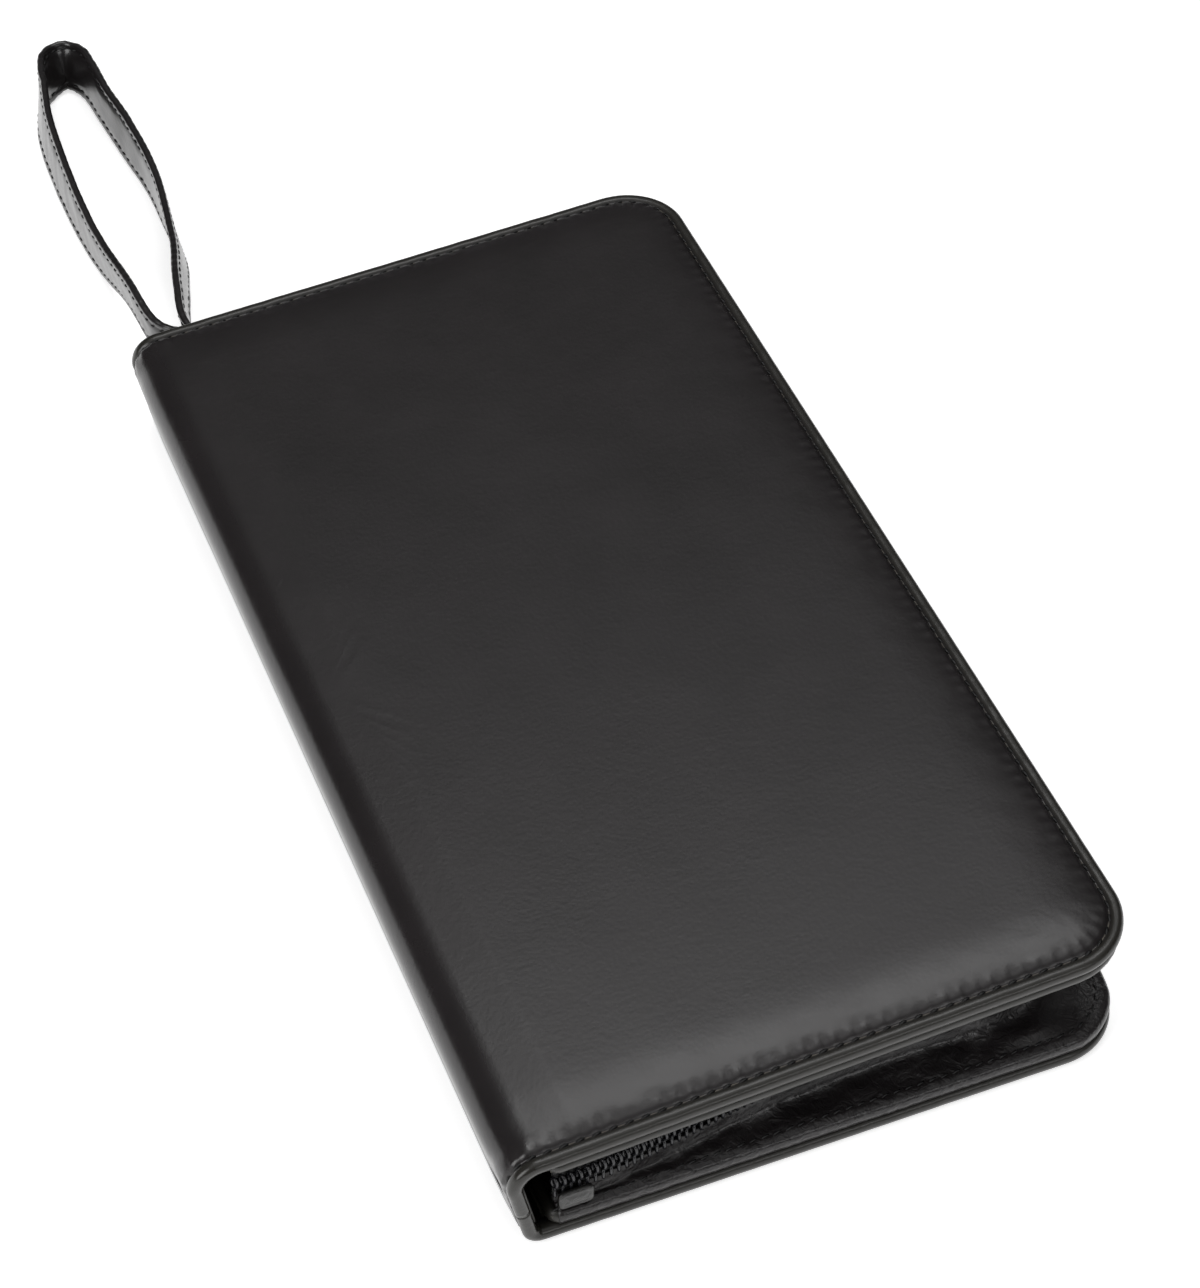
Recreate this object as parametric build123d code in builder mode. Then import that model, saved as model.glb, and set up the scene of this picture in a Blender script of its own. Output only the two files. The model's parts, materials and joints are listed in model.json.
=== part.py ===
"""Zip-around travel document organizer with a wrist strap, in millimetres.

The case lies on its back cover. +X runs from the spine to the fore edge, +Y towards the end where the
zip closes and the wrist strap hangs, +Z up. The origin is on the back cover's underside, below the
middle of the closed case.
"""

from build123d import *

import math
import os

# ---------------------------------------------------------------- driving dimensions
case_length = 235.0
panel_width = 119.0  # one stiff cover, from its hinge crease to the fore edge
case_thickness = 25.0  # closed, over both covers, at the spine
wedge_angle = 3.2  # the front cover rests this much open, in degrees, over what the case holds
cover_corner_radius = 14.0
outer_leather = 1.1
cover_board = 1.2
padding = 2.0
lining_leather = 0.9
lining_board = 1.3
turned_margin = 12.0  # leather turned in over the board
rim_round = 1.45
lining_inset = 0.5
hinge_lining_inset = 1.0

lower_crease_radius = 4.5
upper_crease_radius = 7.0
spine_board = 1.6
spine_lining = 1.0
spine_layer_margin = 0.4  # each inner layer of the spine stops short of the crease
crease_gap = 0.2  # clear width of the cut between leather on two moving bodies

zip_end_recess = 5.0  # from the cover's edge to the tape, beside the spine
zip_corner_recess = 11.0
zip_corner_radius = 18.0
zip_end_setback = 3.0  # from the hinge crease to the tape's end
tape_thickness = 0.7
coil_height_share = 0.2  # shares of the clear height between the two covers at the spine
coil_depth = 2.1
chain_gap_share = 0.1
gusset_leather = 1.2
gusset_flange_width = 3.0
gusset_flange = 0.9
gusset_edge_inset = 2.2

slider_length = 10.5
slider_mouth_share = 0.767
slider_tail_share = 0.7
slider_plate = 1.1
slider_clearance = 0.3
slider_back_clearance = 0.5
slider_setback = 7.5  # from the hinge crease to the middle of the slider
neck_length = 2.6
neck_thickness = 0.6
bridge_opening = 2.45
bridge_wall = 1.1
bridge_width = 2.2
bridge_span = 5.2

ring_wire = 1.5
ring_leg = 8.0  # wire centre to wire centre
ring_reach = 6.2
ring_corner = 1.2
ring_side_clearance = 0.35

strap_width = 12.0
strap_thickness = 1.8
strap_neck_width = 8.5  # where it is folded round the ring's bar
strap_bar_clearance = 0.35
strap_crotch = (-0.9, 4.3)  # where the two legs part, from the ring's bar
strap_drop_start = 15.0
strap_drop_length = 37.0  # over this run the strap comes down to the table
strap_loop_end = 117.8
strap_tip_shift = 3.6
strap_left_bow = 9.0
strap_right_bow = 10.8

pocket_leather = 1.0
pocket_corner_radius = 4.0
pocket_setback = 12.0  # from the hinge crease to the pockets
pocket_side_margin = 3.6
passport_pocket_length = 108.0
card_leaf = 0.8
card_slots = 4
card_slot_step = 14.0
card_pocket_length = 56.0
pocket_gap = 6.0
window_border = 7.0
window_film = 0.4
pocket_end_margin = 6.0

pen_loop_bore_share = 0.667
pen_loop_wall = 0.8
pen_loop_length = 30.0
pen_loop_tab = 3.2

stop_length = 2.6
stop_wall_share = 0.333  # of the chain's gap
stop_reach = 2.2
end_tab_length = 7.0
end_tab_leather = 1.0
end_tab_clearance = 0.1

chain_start_gap = 0.6  # between an end of the coil and the piece before it
slider_corner = 1.6
neck_setback = 0.4
ring_bends_room = 2.8  # length of bar taken by the ring's two bends, in corner radii
stop_corner = 0.4
flange_overlap = 0.01
strap_eye_start = 150  # degrees round the bar
strap_eye_sweep = 240
# shares of each leg's bow and of the loop's length, from the bar round to the tip and back
left_shares = ((0.68, 0.067), (0.81, 0.25), (1.0, 0.52), (0.89, 0.77), (0.56, 0.91))
right_shares = ((0.72, 0.935), (0.91, 0.69), (0.99, 0.54), (0.8, 0.325), (0.435, 0.183), (0.13, 0.067))
band_overrun = 30.0
flat_enough = 0.99
pick_tolerance = 0.1

# ---------------------------------------------------------------- worked out from them
half_length = case_length / 2
half_tape = tape_thickness / 2
half_strap = strap_thickness / 2
outer_panel = 2 * outer_leather + cover_board
inner_panel = 2 * lining_leather + lining_board
cover_thickness = outer_panel + inner_panel
clear_height = case_thickness - 2 * cover_thickness
coil_height = coil_height_share * clear_height
chain_gap = chain_gap_share * clear_height
stop_wall = stop_wall_share * chain_gap
slider_mouth = slider_mouth_share * clear_height
slider_tail = slider_tail_share * clear_height
pen_loop_bore = pen_loop_bore_share * clear_height
half_gap = chain_gap / 2
fore_edge = (panel_width + upper_crease_radius) / 2
hinge_x = fore_edge - panel_width
wedge = math.radians(wedge_angle)

lower_centre = (hinge_x, lower_crease_radius)
upper_centre = (hinge_x, case_thickness - upper_crease_radius)
centre_distance = upper_centre[1] - lower_centre[1]
spine_lean = math.asin((upper_crease_radius - lower_crease_radius) / centre_distance)
spine_height = centre_distance * math.cos(spine_lean)
lower_turn = math.pi / 2 - spine_lean  # how far the leather turns round each crease
upper_turn = math.pi / 2 + spine_lean - wedge

back_plane = Plane(origin=(hinge_x, 0, 0), x_dir=(1, 0, 0), z_dir=(0, 0, 1))
front_top = (
    upper_centre[0] - upper_crease_radius * math.sin(wedge),
    0,
    upper_centre[1] + upper_crease_radius * math.cos(wedge),
)
front_plane = Plane(
    origin=front_top,
    x_dir=(math.cos(wedge), 0, math.sin(wedge)),
    z_dir=(math.sin(wedge), 0, -math.cos(wedge)),
)
back_inside = Plane.XY.offset(cover_thickness)
front_inside = Plane(
    origin=front_plane.offset(cover_thickness).origin,
    x_dir=front_plane.x_dir,
    z_dir=front_plane.z_dir * -1,
)
chain_plane = Plane(
    origin=(hinge_x, 0, case_thickness / 2),
    x_dir=(math.cos(wedge / 2), 0, math.sin(wedge / 2)),
    z_dir=(-math.sin(wedge / 2), 0, math.cos(wedge / 2)),
)

zip_start = (hinge_x + zip_end_setback, half_length - zip_end_recess)
zip_corner = (fore_edge - zip_corner_recess, half_length - zip_corner_recess)
run_angle = math.atan2(zip_corner[1] - zip_start[1], zip_corner[0] - zip_start[0])
slider_half_height = slider_mouth / 2
chain_start_far = hinge_x + slider_setback + slider_length / 2 + chain_start_gap
chain_start_near = zip_start[0] + stop_length + chain_start_gap

slider_x = hinge_x + slider_setback
slider_origin = Vector(
    slider_x,
    zip_start[1] + (slider_x - zip_start[0]) * math.tan(run_angle),
    case_thickness / 2 + slider_setback * math.tan(wedge / 2),
)
outward = Vector(-math.sin(run_angle), math.cos(run_angle), 0)
run_climb = math.cos(run_angle) * math.tan(wedge / 2)
along = Vector(math.cos(run_angle), math.sin(run_angle), run_climb).normalized()
upward = along.cross(outward)
front_plate = half_tape + coil_depth + slider_clearance
bridge_foot = front_plate + slider_plate
leg_reach = bridge_foot + bridge_opening / 2
bar_reach = leg_reach + ring_reach
ring_bar = strap_neck_width + 2 * ring_side_clearance + ring_bends_room * ring_corner
bar_point = slider_origin + outward * bar_reach
strap_turn = ring_wire / 2 + strap_bar_clearance + half_strap

os.makedirs("parts", exist_ok=True)


def write(builder, name):
    """Labels a finished piece and writes its STEP file."""
    builder.part.label = name
    export_step(builder.part, f"parts/{name}.step")


# ---------------------------------------------------------------- covers
def cover_outline(inset, hinge_inset):
    """A cover's outline, pulled in by inset, in the plane of the cover with the crease at x = 0."""
    with BuildSketch() as outline:
        with Locations(((panel_width - inset + hinge_inset) / 2, 0)):
            Rectangle(panel_width - inset - hinge_inset, case_length - 2 * inset)
        fillet(outline.vertices().group_by(Axis.X)[-1], cover_corner_radius - inset)
    return outline.sketch


def sheet_in_cover(plane, depth, thickness, inset, hinge_inset):
    """A plain flat sheet inside a cover, such as its board or its padding."""
    with BuildPart() as sheet:
        with BuildSketch(plane.offset(depth)):
            add(cover_outline(inset, hinge_inset))
        extrude(amount=thickness)
    return sheet


def wrapped_panel(plane, depth, thickness, inset, hinge_inset, leather, window_depth):
    """Leather drawn over a board and turned in all round, with the board's room left open inside."""
    with BuildPart() as wrap:
        with BuildSketch(plane.offset(depth)):
            add(cover_outline(inset, hinge_inset))
        extrude(amount=thickness)
        flat_faces = wrap.faces().filter_by(lambda f: abs(f.normal_at().dot(plane.z_dir)) > flat_enough)
        rim = flat_faces.edges().filter_by(
            lambda e: plane.to_local_coords(e.center()).X > hinge_inset + pick_tolerance
        )
        fillet(rim, rim_round)
        with BuildSketch(plane.offset(depth + leather)):
            add(cover_outline(inset + leather, hinge_inset + leather))
        extrude(amount=thickness - 2 * leather, mode=Mode.SUBTRACT)
        with BuildSketch(plane.offset(window_depth)):
            add(cover_outline(turned_margin, turned_margin))
        extrude(amount=leather, mode=Mode.SUBTRACT)
    return wrap


def crease_strip(centre, radius, start_angle, sweep_angle):
    """Leather round part of a crease, as a section across the case, run over the whole length."""
    with BuildPart() as strip:
        with BuildSketch(Plane.XZ):
            with BuildLine():
                outside = CenterArc(centre, radius, start_angle, sweep_angle)
                inside = CenterArc(centre, radius - outer_leather, start_angle, sweep_angle)
                Line(outside @ 0, inside @ 0)
                Line(outside @ 1, inside @ 1)
            make_face()
        extrude(amount=half_length, both=True)
    return strip


lower_gap = math.degrees(crease_gap / lower_crease_radius) / 2
upper_gap = math.degrees(crease_gap / upper_crease_radius) / 2
lower_half_turn = math.degrees(lower_turn) / 2
upper_half_turn = math.degrees(upper_turn) / 2
lean_degrees = math.degrees(spine_lean)

back_wrap = wrapped_panel(
    back_plane, 0, outer_panel, 0, 0, outer_leather, outer_panel - outer_leather
)
back_strip = crease_strip(lower_centre, lower_crease_radius, 270, lower_gap - lower_half_turn)
with BuildPart() as back_cover_leather:
    add(back_wrap.part)
    add(back_strip.part)
write(back_cover_leather, "back_cover_leather")

front_wrap = wrapped_panel(
    front_plane, 0, outer_panel, 0, 0, outer_leather, outer_panel - outer_leather
)
front_strip = crease_strip(
    upper_centre, upper_crease_radius, 90 + wedge_angle, upper_half_turn - upper_gap
)
with BuildPart() as front_cover_leather:
    add(front_wrap.part)
    add(front_strip.part)
write(front_cover_leather, "front_cover_leather")

for side, plane in (("back", back_plane), ("front", front_plane)):
    write(
        sheet_in_cover(plane, outer_leather, cover_board, outer_leather, outer_leather),
        f"{side}_board",
    )
    write(
        sheet_in_cover(
            plane, outer_panel - outer_leather, padding, turned_margin, turned_margin
        ),
        f"{side}_padding",
    )
    write(
        wrapped_panel(
            plane,
            outer_panel,
            inner_panel,
            lining_inset,
            hinge_lining_inset,
            lining_leather,
            outer_panel,
        ),
        f"{side}_lining",
    )
    write(
        sheet_in_cover(
            plane,
            outer_panel + lining_leather,
            lining_board,
            lining_inset + lining_leather,
            hinge_lining_inset + lining_leather,
        ),
        f"{side}_lining_board",
    )

# ---------------------------------------------------------------- spine
# Across the spine: x runs inwards from the leather's face, y up along the lean.
spine_foot = (
    lower_centre[0] - lower_crease_radius * math.cos(spine_lean),
    lower_centre[1] - lower_crease_radius * math.sin(spine_lean),
)
spine_face = Plane(
    origin=(spine_foot[0], 0, spine_foot[1]),
    x_dir=(math.cos(spine_lean), 0, math.sin(spine_lean)),
    z_dir=(0, -1, 0),
)


def spine_layer(depth, thickness, end_margin, length_margin):
    """One flat layer of the spine."""
    with BuildPart() as layer:
        with BuildSketch(spine_face):
            with Locations((depth + thickness / 2, spine_height / 2)):
                Rectangle(thickness, spine_height - 2 * end_margin)
        extrude(amount=half_length - length_margin, both=True)
    return layer


spine_flat = spine_layer(0, outer_leather, 0, 0)
spine_lower = crease_strip(
    lower_centre, lower_crease_radius, 180 + lean_degrees, lower_half_turn - lower_gap
)
spine_upper = crease_strip(
    upper_centre, upper_crease_radius, 180 + lean_degrees, upper_gap - upper_half_turn
)
with BuildPart() as spine_leather:
    add(spine_flat.part)
    add(spine_lower.part)
    add(spine_upper.part)
write(spine_leather, "spine_leather")
write(spine_layer(outer_leather, spine_board, spine_layer_margin, outer_leather), "spine_board")
write(
    spine_layer(outer_leather + spine_board, spine_lining, spine_layer_margin, outer_leather),
    "spine_lining",
)


# ---------------------------------------------------------------- zip
def zip_band(inner, outer, far_start, near_start):
    """The strip in plan between two lines beside the tape's middle, both measured outwards from it."""
    left = (zip_start[0] - band_overrun, zip_start[1] - band_overrun * math.tan(run_angle))
    with BuildSketch() as band:
        with BuildLine():
            FilletPolyline(
                left,
                zip_corner,
                (zip_corner[0], -zip_corner[1]),
                (left[0], -left[1]),
                radius=zip_corner_radius,
            )
            Line((left[0], -left[1]), left)
        region = make_face()
        offset(region, amount=outer, mode=Mode.REPLACE)
        offset(region, amount=inner, mode=Mode.SUBTRACT)
        for start, side in ((far_start, 1), (near_start, -1)):
            with Locations((start - case_length / 2, side * half_length / 2)):
                Rectangle(case_length, half_length, mode=Mode.SUBTRACT)
    return band.sketch


def cover_plan(inset):
    """A cover's outline in plan."""
    return cover_outline(inset, 0).moved(Location((hinge_x, 0, 0)))


def standing_piece(plan, floor, ceiling):
    """A plan shape raised between two planes that need not be level."""
    with BuildPart() as piece:
        with BuildSketch():
            add(plan)
        extrude(amount=2 * case_thickness)
        split(bisect_by=floor, keep=Keep.TOP)
        split(bisect_by=ceiling, keep=Keep.BOTTOM)
    return piece


coil_outside = half_gap + coil_height
gusset_top = slider_half_height + slider_clearance
gusset_outside = half_tape + gusset_leather

tape_plan = zip_band(-half_tape, half_tape, zip_start[0], zip_start[0])
write(
    standing_piece(tape_plan, back_inside, chain_plane.offset(-half_gap)), "zipper_tape_lower"
)
write(
    standing_piece(tape_plan, chain_plane.offset(half_gap), front_inside), "zipper_tape_upper"
)

coil_plan = zip_band(half_tape, half_tape + coil_depth, chain_start_far, chain_start_near)
write(
    standing_piece(coil_plan, chain_plane.offset(-coil_outside), chain_plane.offset(-half_gap)),
    "zipper_coil_lower",
)
write(
    standing_piece(coil_plan, chain_plane.offset(half_gap), chain_plane.offset(coil_outside)),
    "zipper_coil_upper",
)

riser_plan = zip_band(half_tape, gusset_outside, zip_start[0], zip_start[0])
with BuildSketch() as flange_plan:
    add(
        zip_band(
            gusset_outside - flange_overlap,
            gusset_outside + gusset_flange_width,
            zip_start[0],
            zip_start[0],
        )
    )
    add(cover_plan(gusset_edge_inset), mode=Mode.INTERSECT)

with BuildPart() as zipper_gusset_lower:
    add(standing_piece(riser_plan, back_inside, chain_plane.offset(-gusset_top)).part)
    add(standing_piece(flange_plan.sketch, back_inside, back_inside.offset(gusset_flange)).part)
write(zipper_gusset_lower, "zipper_gusset_lower")

with BuildPart() as zipper_gusset_upper:
    add(standing_piece(riser_plan, chain_plane.offset(gusset_top), front_inside).part)
    add(standing_piece(flange_plan.sketch, front_inside.offset(-gusset_flange), front_inside).part)
write(zipper_gusset_upper, "zipper_gusset_upper")


def chain_frame(x, side):
    """A plane on the tape's middle at x, facing out of the case, with its x axis along the chain."""
    rise = case_thickness / 2 + (x - hinge_x) * math.tan(wedge / 2)
    y = zip_start[1] + (x - zip_start[0]) * math.tan(run_angle)
    if side > 0:
        return Plane(origin=(x, y, rise), x_dir=along, z_dir=outward)
    near_along = Vector(along.X, -along.Y, along.Z)
    return Plane(origin=(x, -y, rise), x_dir=near_along, z_dir=Vector(outward.X, -outward.Y, 0))


def end_stop(frame, up):
    """A crimped clip over the tape's edge. up is 1 where the frame's y axis points away from the tape."""
    middle = half_gap - stop_wall + stop_reach / 2
    with BuildPart() as clip:
        with BuildSketch(frame.offset(-half_tape - stop_wall)):
            with Locations((0, -up * middle)):
                RectangleRounded(stop_length, stop_reach, stop_corner)
        extrude(amount=tape_thickness + 2 * stop_wall)
        with BuildSketch(frame.offset(-half_tape)):
            with Locations((0, -up * (middle + stop_wall / 2))):
                Rectangle(stop_length, stop_reach - stop_wall)
        extrude(amount=tape_thickness, mode=Mode.SUBTRACT)
    return clip


near_stop_x = zip_start[0] + stop_length / 2
write(end_stop(chain_frame(near_stop_x, -1), 1), "zipper_stop_lower")
write(end_stop(chain_frame(near_stop_x, -1), -1), "zipper_stop_upper")

coil_front = half_tape + coil_depth + end_tab_clearance
with BuildSketch() as tab_outline:
    add(zip_band(coil_front, coil_front + end_tab_leather, zip_start[0], zip_start[0]))
    with Locations((zip_start[0] + end_tab_length / 2, -half_length)):
        Rectangle(end_tab_length, case_length, mode=Mode.INTERSECT)
write(
    standing_piece(
        tab_outline.sketch, back_inside.offset(gusset_flange), chain_plane.offset(-half_gap)
    ),
    "zipper_end_tab",
)

# ---------------------------------------------------------------- slider
slider_face = Plane(origin=slider_origin, x_dir=along, z_dir=outward)
slider_side = Plane(origin=slider_origin, x_dir=along, z_dir=upward)
neck_middle = (neck_length - slider_length) / 2 + neck_setback

with BuildPart() as slider_body:
    for depth in (front_plate, -half_tape - slider_back_clearance - slider_plate):
        with BuildSketch(slider_face.offset(depth)) as plate:
            with BuildLine():
                Polyline(
                    (-slider_length / 2, slider_mouth / 2),
                    (slider_length / 2, slider_tail / 2),
                    (slider_length / 2, -slider_tail / 2),
                    (-slider_length / 2, -slider_mouth / 2),
                    close=True,
                )
            make_face()
            fillet(plate.vertices(), slider_corner)
        extrude(amount=slider_plate)
    with BuildSketch(slider_face.offset(-half_tape - slider_back_clearance)):
        with Locations((neck_middle, 0)):
            Rectangle(neck_length, neck_thickness)
    extrude(amount=half_tape + slider_back_clearance + front_plate)
    with BuildSketch(slider_side) as bridge:
        with Locations((0, bridge_foot + (bridge_opening + bridge_wall) / 2)):
            Rectangle(bridge_span, bridge_opening + bridge_wall)
        fillet(bridge.vertices().group_by(Axis.Y)[-1], bridge_wall)
        with Locations((0, bridge_foot + bridge_opening / 2)):
            Rectangle(bridge_span - 2 * bridge_wall, bridge_opening, mode=Mode.SUBTRACT)
    extrude(amount=bridge_width / 2, both=True)
write(slider_body, "slider_body")

# ---------------------------------------------------------------- ring
ring_plane = Plane(origin=slider_origin, x_dir=outward, z_dir=outward.cross(Vector(0, 0, 1)))
with BuildPart() as strap_ring:
    with BuildLine(ring_plane):
        ring_path = FilletPolyline(
            (leg_reach, ring_leg / 2),
            (bar_reach, ring_bar / 2),
            (bar_reach, -ring_bar / 2),
            (leg_reach, -ring_leg / 2),
            radius=ring_corner,
            close=True,
        )
    with BuildSketch(Plane(origin=ring_path @ 0, z_dir=ring_path % 0)):
        Circle(ring_wire / 2)
    sweep(path=ring_path)
write(strap_ring, "strap_ring")

# ---------------------------------------------------------------- wrist strap
# In plan, from the ring's bar: x to the right, y out along the strap.
strap_plan = Plane(origin=(bar_point.X, bar_point.Y, 0), x_dir=(1, 0, 0), z_dir=(0, 0, 1))
strap_side = Plane(origin=(bar_point.X, bar_point.Y, 0), x_dir=(0, 1, 0), z_dir=(1, 0, 0))
neck_low = bar_point.Z - strap_neck_width / 2
neck_high = bar_point.Z + strap_neck_width / 2
half_drop = strap_drop_length / 2
drop_end = strap_drop_start + strap_drop_length
strap_end = strap_loop_end + strap_thickness


def loop_points(inset):
    """The free loop's edge from the left leg round the tip to the right leg, pulled in by inset."""
    left = [(inset - strap_left_bow * bow, strap_loop_end * run) for bow, run in left_shares]
    right = [(strap_right_bow * bow - inset, strap_loop_end * run) for bow, run in right_shares]
    return left + [(strap_tip_shift, strap_loop_end - inset)] + right


with BuildPart() as strap_band:
    with BuildSketch(strap_plan):
        with BuildLine():
            eye = CenterArc((0, 0), strap_turn + half_strap, strap_eye_start, strap_eye_sweep)
            Spline(eye @ 0, *loop_points(-half_strap), eye @ 1)
        make_face()
        with BuildLine():
            Spline(strap_crotch, *loop_points(half_strap), strap_crotch)
        make_face(mode=Mode.SUBTRACT)
        Circle(strap_turn - half_strap, mode=Mode.SUBTRACT)
    extrude(amount=case_thickness, both=True)
    with BuildSketch(strap_side):
        with BuildLine():
            low = Bezier(
                (strap_drop_start, neck_low),
                (strap_drop_start + half_drop, neck_low),
                (drop_end - half_drop, 0),
                (drop_end, 0),
            )
            high = Bezier(
                (strap_drop_start, neck_high),
                (strap_drop_start + half_drop, neck_high),
                (drop_end - half_drop, strap_width),
                (drop_end, strap_width),
            )
            Polyline(low @ 1, (strap_end, 0), (strap_end, strap_width), high @ 1)
            Polyline(low @ 0, (-strap_end, neck_low), (-strap_end, neck_high), high @ 0)
        make_face()
    extrude(amount=case_thickness, both=True, mode=Mode.INTERSECT)
write(strap_band, "strap_band")

# ---------------------------------------------------------------- pockets
pocket_edge = panel_width - zip_corner_recess - half_tape - pocket_side_margin
pocket_width = pocket_edge - pocket_setback
pocket_middle = pocket_setback + pocket_width / 2
pocket_room = 2 * (half_length - zip_corner_recess - half_tape - pocket_end_margin)
pocket_foot = -pocket_room / 2


def pocket(plane, level, thickness, foot, length):
    """One flat pocket leaf, its foot and length along the case, at a level above a cover's lining."""
    with BuildPart() as leaf:
        with BuildSketch(plane.offset(level)):
            with Locations((pocket_middle, foot + length / 2)):
                RectangleRounded(pocket_width, length, pocket_corner_radius)
        extrude(amount=thickness)
    return leaf


back_pockets = back_plane.offset(cover_thickness)
front_pockets = front_plane.offset(cover_thickness)
write(pocket(back_pockets, 0, pocket_leather, pocket_foot, pocket_room), "ticket_pocket")
write(
    pocket(back_pockets, pocket_leather, pocket_leather, pocket_foot, passport_pocket_length),
    "passport_pocket",
)
for number in range(card_slots):
    leaf_length = card_pocket_length + (card_slots - 1 - number) * card_slot_step
    write(
        pocket(front_pockets, number * card_leaf, card_leaf, pocket_foot, leaf_length),
        f"card_pocket_{number + 1}",
    )

longest_leaf = card_pocket_length + (card_slots - 1) * card_slot_step
window_pocket_length = pocket_room - longest_leaf - pocket_gap
window_foot = pocket_room / 2 - window_pocket_length
write(
    pocket(front_pockets, 0, window_film, window_foot, window_pocket_length), "id_window_film"
)
with BuildPart() as id_window_frame:
    add(
        pocket(
            front_pockets, window_film, pocket_leather, window_foot, window_pocket_length
        ).part
    )
    with BuildSketch(front_pockets.offset(window_film)):
        with Locations((pocket_middle, window_foot + window_pocket_length / 2)):
            RectangleRounded(
                pocket_width - 2 * window_border,
                window_pocket_length - 2 * window_border,
                pocket_corner_radius,
            )
    extrude(amount=pocket_leather, mode=Mode.SUBTRACT)
write(id_window_frame, "id_window_frame")

# ---------------------------------------------------------------- pen loop, on the spine's lining
pen_loop_foot = outer_leather + spine_board + spine_lining
pen_loop_radius = pen_loop_bore / 2 + pen_loop_wall
spine_middle_z = (case_thickness - upper_crease_radius + lower_crease_radius) / 2 - (
    upper_crease_radius + lower_crease_radius
) * math.sin(spine_lean) / 2
pen_loop_rise = case_thickness / 2 - spine_middle_z - (
    pen_loop_foot + pen_loop_radius
) * math.sin(spine_lean)
pen_loop_height = spine_height / 2 + pen_loop_rise / math.cos(spine_lean)
with BuildPart() as pen_loop:
    with BuildSketch(spine_face):
        with Locations((pen_loop_foot + pen_loop_wall / 2, pen_loop_height)):
            Rectangle(pen_loop_wall, 2 * pen_loop_tab)
        with Locations((pen_loop_foot + pen_loop_radius, pen_loop_height)):
            Circle(pen_loop_radius)
            Circle(pen_loop_bore / 2, mode=Mode.SUBTRACT)
    extrude(amount=pen_loop_length / 2, both=True)
write(pen_loop, "pen_loop")
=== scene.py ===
"""Zip-around leather travel organizer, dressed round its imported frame.

Sizes are in millimetres and are turned to metres where a mesh is made. +X runs from the spine to the
fore edge, +Y towards the wrist strap and +Z up.
"""

import json
import logging
import math
from dataclasses import dataclass, field
from enum import Enum
from typing import Callable, Optional, Sequence

import bmesh
import bpy
import numpy as np
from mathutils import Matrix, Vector


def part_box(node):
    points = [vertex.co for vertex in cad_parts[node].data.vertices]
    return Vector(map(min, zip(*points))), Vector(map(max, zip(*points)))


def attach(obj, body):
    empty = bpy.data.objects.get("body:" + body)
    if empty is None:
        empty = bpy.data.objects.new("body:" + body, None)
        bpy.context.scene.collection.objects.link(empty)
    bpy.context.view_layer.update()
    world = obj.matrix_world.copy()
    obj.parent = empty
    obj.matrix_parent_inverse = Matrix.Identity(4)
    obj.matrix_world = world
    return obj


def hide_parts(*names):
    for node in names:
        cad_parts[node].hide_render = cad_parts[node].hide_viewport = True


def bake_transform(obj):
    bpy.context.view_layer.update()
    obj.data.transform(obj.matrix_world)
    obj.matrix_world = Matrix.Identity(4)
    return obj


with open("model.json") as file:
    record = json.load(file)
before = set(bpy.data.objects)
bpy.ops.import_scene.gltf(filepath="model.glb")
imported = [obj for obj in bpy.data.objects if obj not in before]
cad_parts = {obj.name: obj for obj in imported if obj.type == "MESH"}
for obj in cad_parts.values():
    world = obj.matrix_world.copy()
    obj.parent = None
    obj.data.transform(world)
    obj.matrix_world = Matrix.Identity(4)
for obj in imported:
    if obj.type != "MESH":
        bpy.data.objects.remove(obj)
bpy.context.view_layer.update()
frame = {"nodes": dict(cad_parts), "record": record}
LOG = logging.getLogger("organizer")
MM = 0.001
TINY = 1e-9
SAME_POINT_M = 2e-6
SLIVER_M = 1e-6
Relief = Callable[[np.ndarray, np.ndarray, np.ndarray, float], np.ndarray]


# ------------------------------------------------------------------ colour and nodes
def linear(hex_colour: str) -> tuple[float, float, float, float]:
    """Turns an sRGB hex colour to linear light.

    Args:
        hex_colour: Six hex digits.

    Returns:
        Linear red, green, blue and an alpha of 1.
    """
    parts = [int(hex_colour[i : i + 2], 16) / 255 for i in (0, 2, 4)]
    light = [c / 12.92 if c <= 0.04045 else ((c + 0.055) / 1.055) ** 2.4 for c in parts]
    return (light[0], light[1], light[2], 1.0)


def fill(tree: bpy.types.NodeTree, node: bpy.types.Node, inputs: dict) -> None:
    """Sets a node's sockets.

    Args:
        tree: The tree that holds the node.
        node: The node.
        inputs: Socket name or index to a value, or to the output socket that feeds it.
    """
    for key, value in inputs.items():
        socket = node.inputs[key]
        if isinstance(value, bpy.types.NodeSocket):
            tree.links.new(value, socket)
        else:
            socket.default_value = value


def add_node(
    tree: bpy.types.NodeTree, kind: str, inputs: Optional[dict] = None, **settings: object
) -> bpy.types.Node:
    """Adds a node with its settings and links.

    Args:
        tree: The tree that takes the node.
        kind: The node's type name.
        inputs: Socket name or index to a value, or to the output socket that feeds it.
        **settings: The node's own properties.

    Returns:
        The new node.
    """
    node = tree.nodes.new(kind)
    for key, value in settings.items():
        setattr(node, key, value)
    fill(tree, node, inputs or {})
    return node


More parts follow.
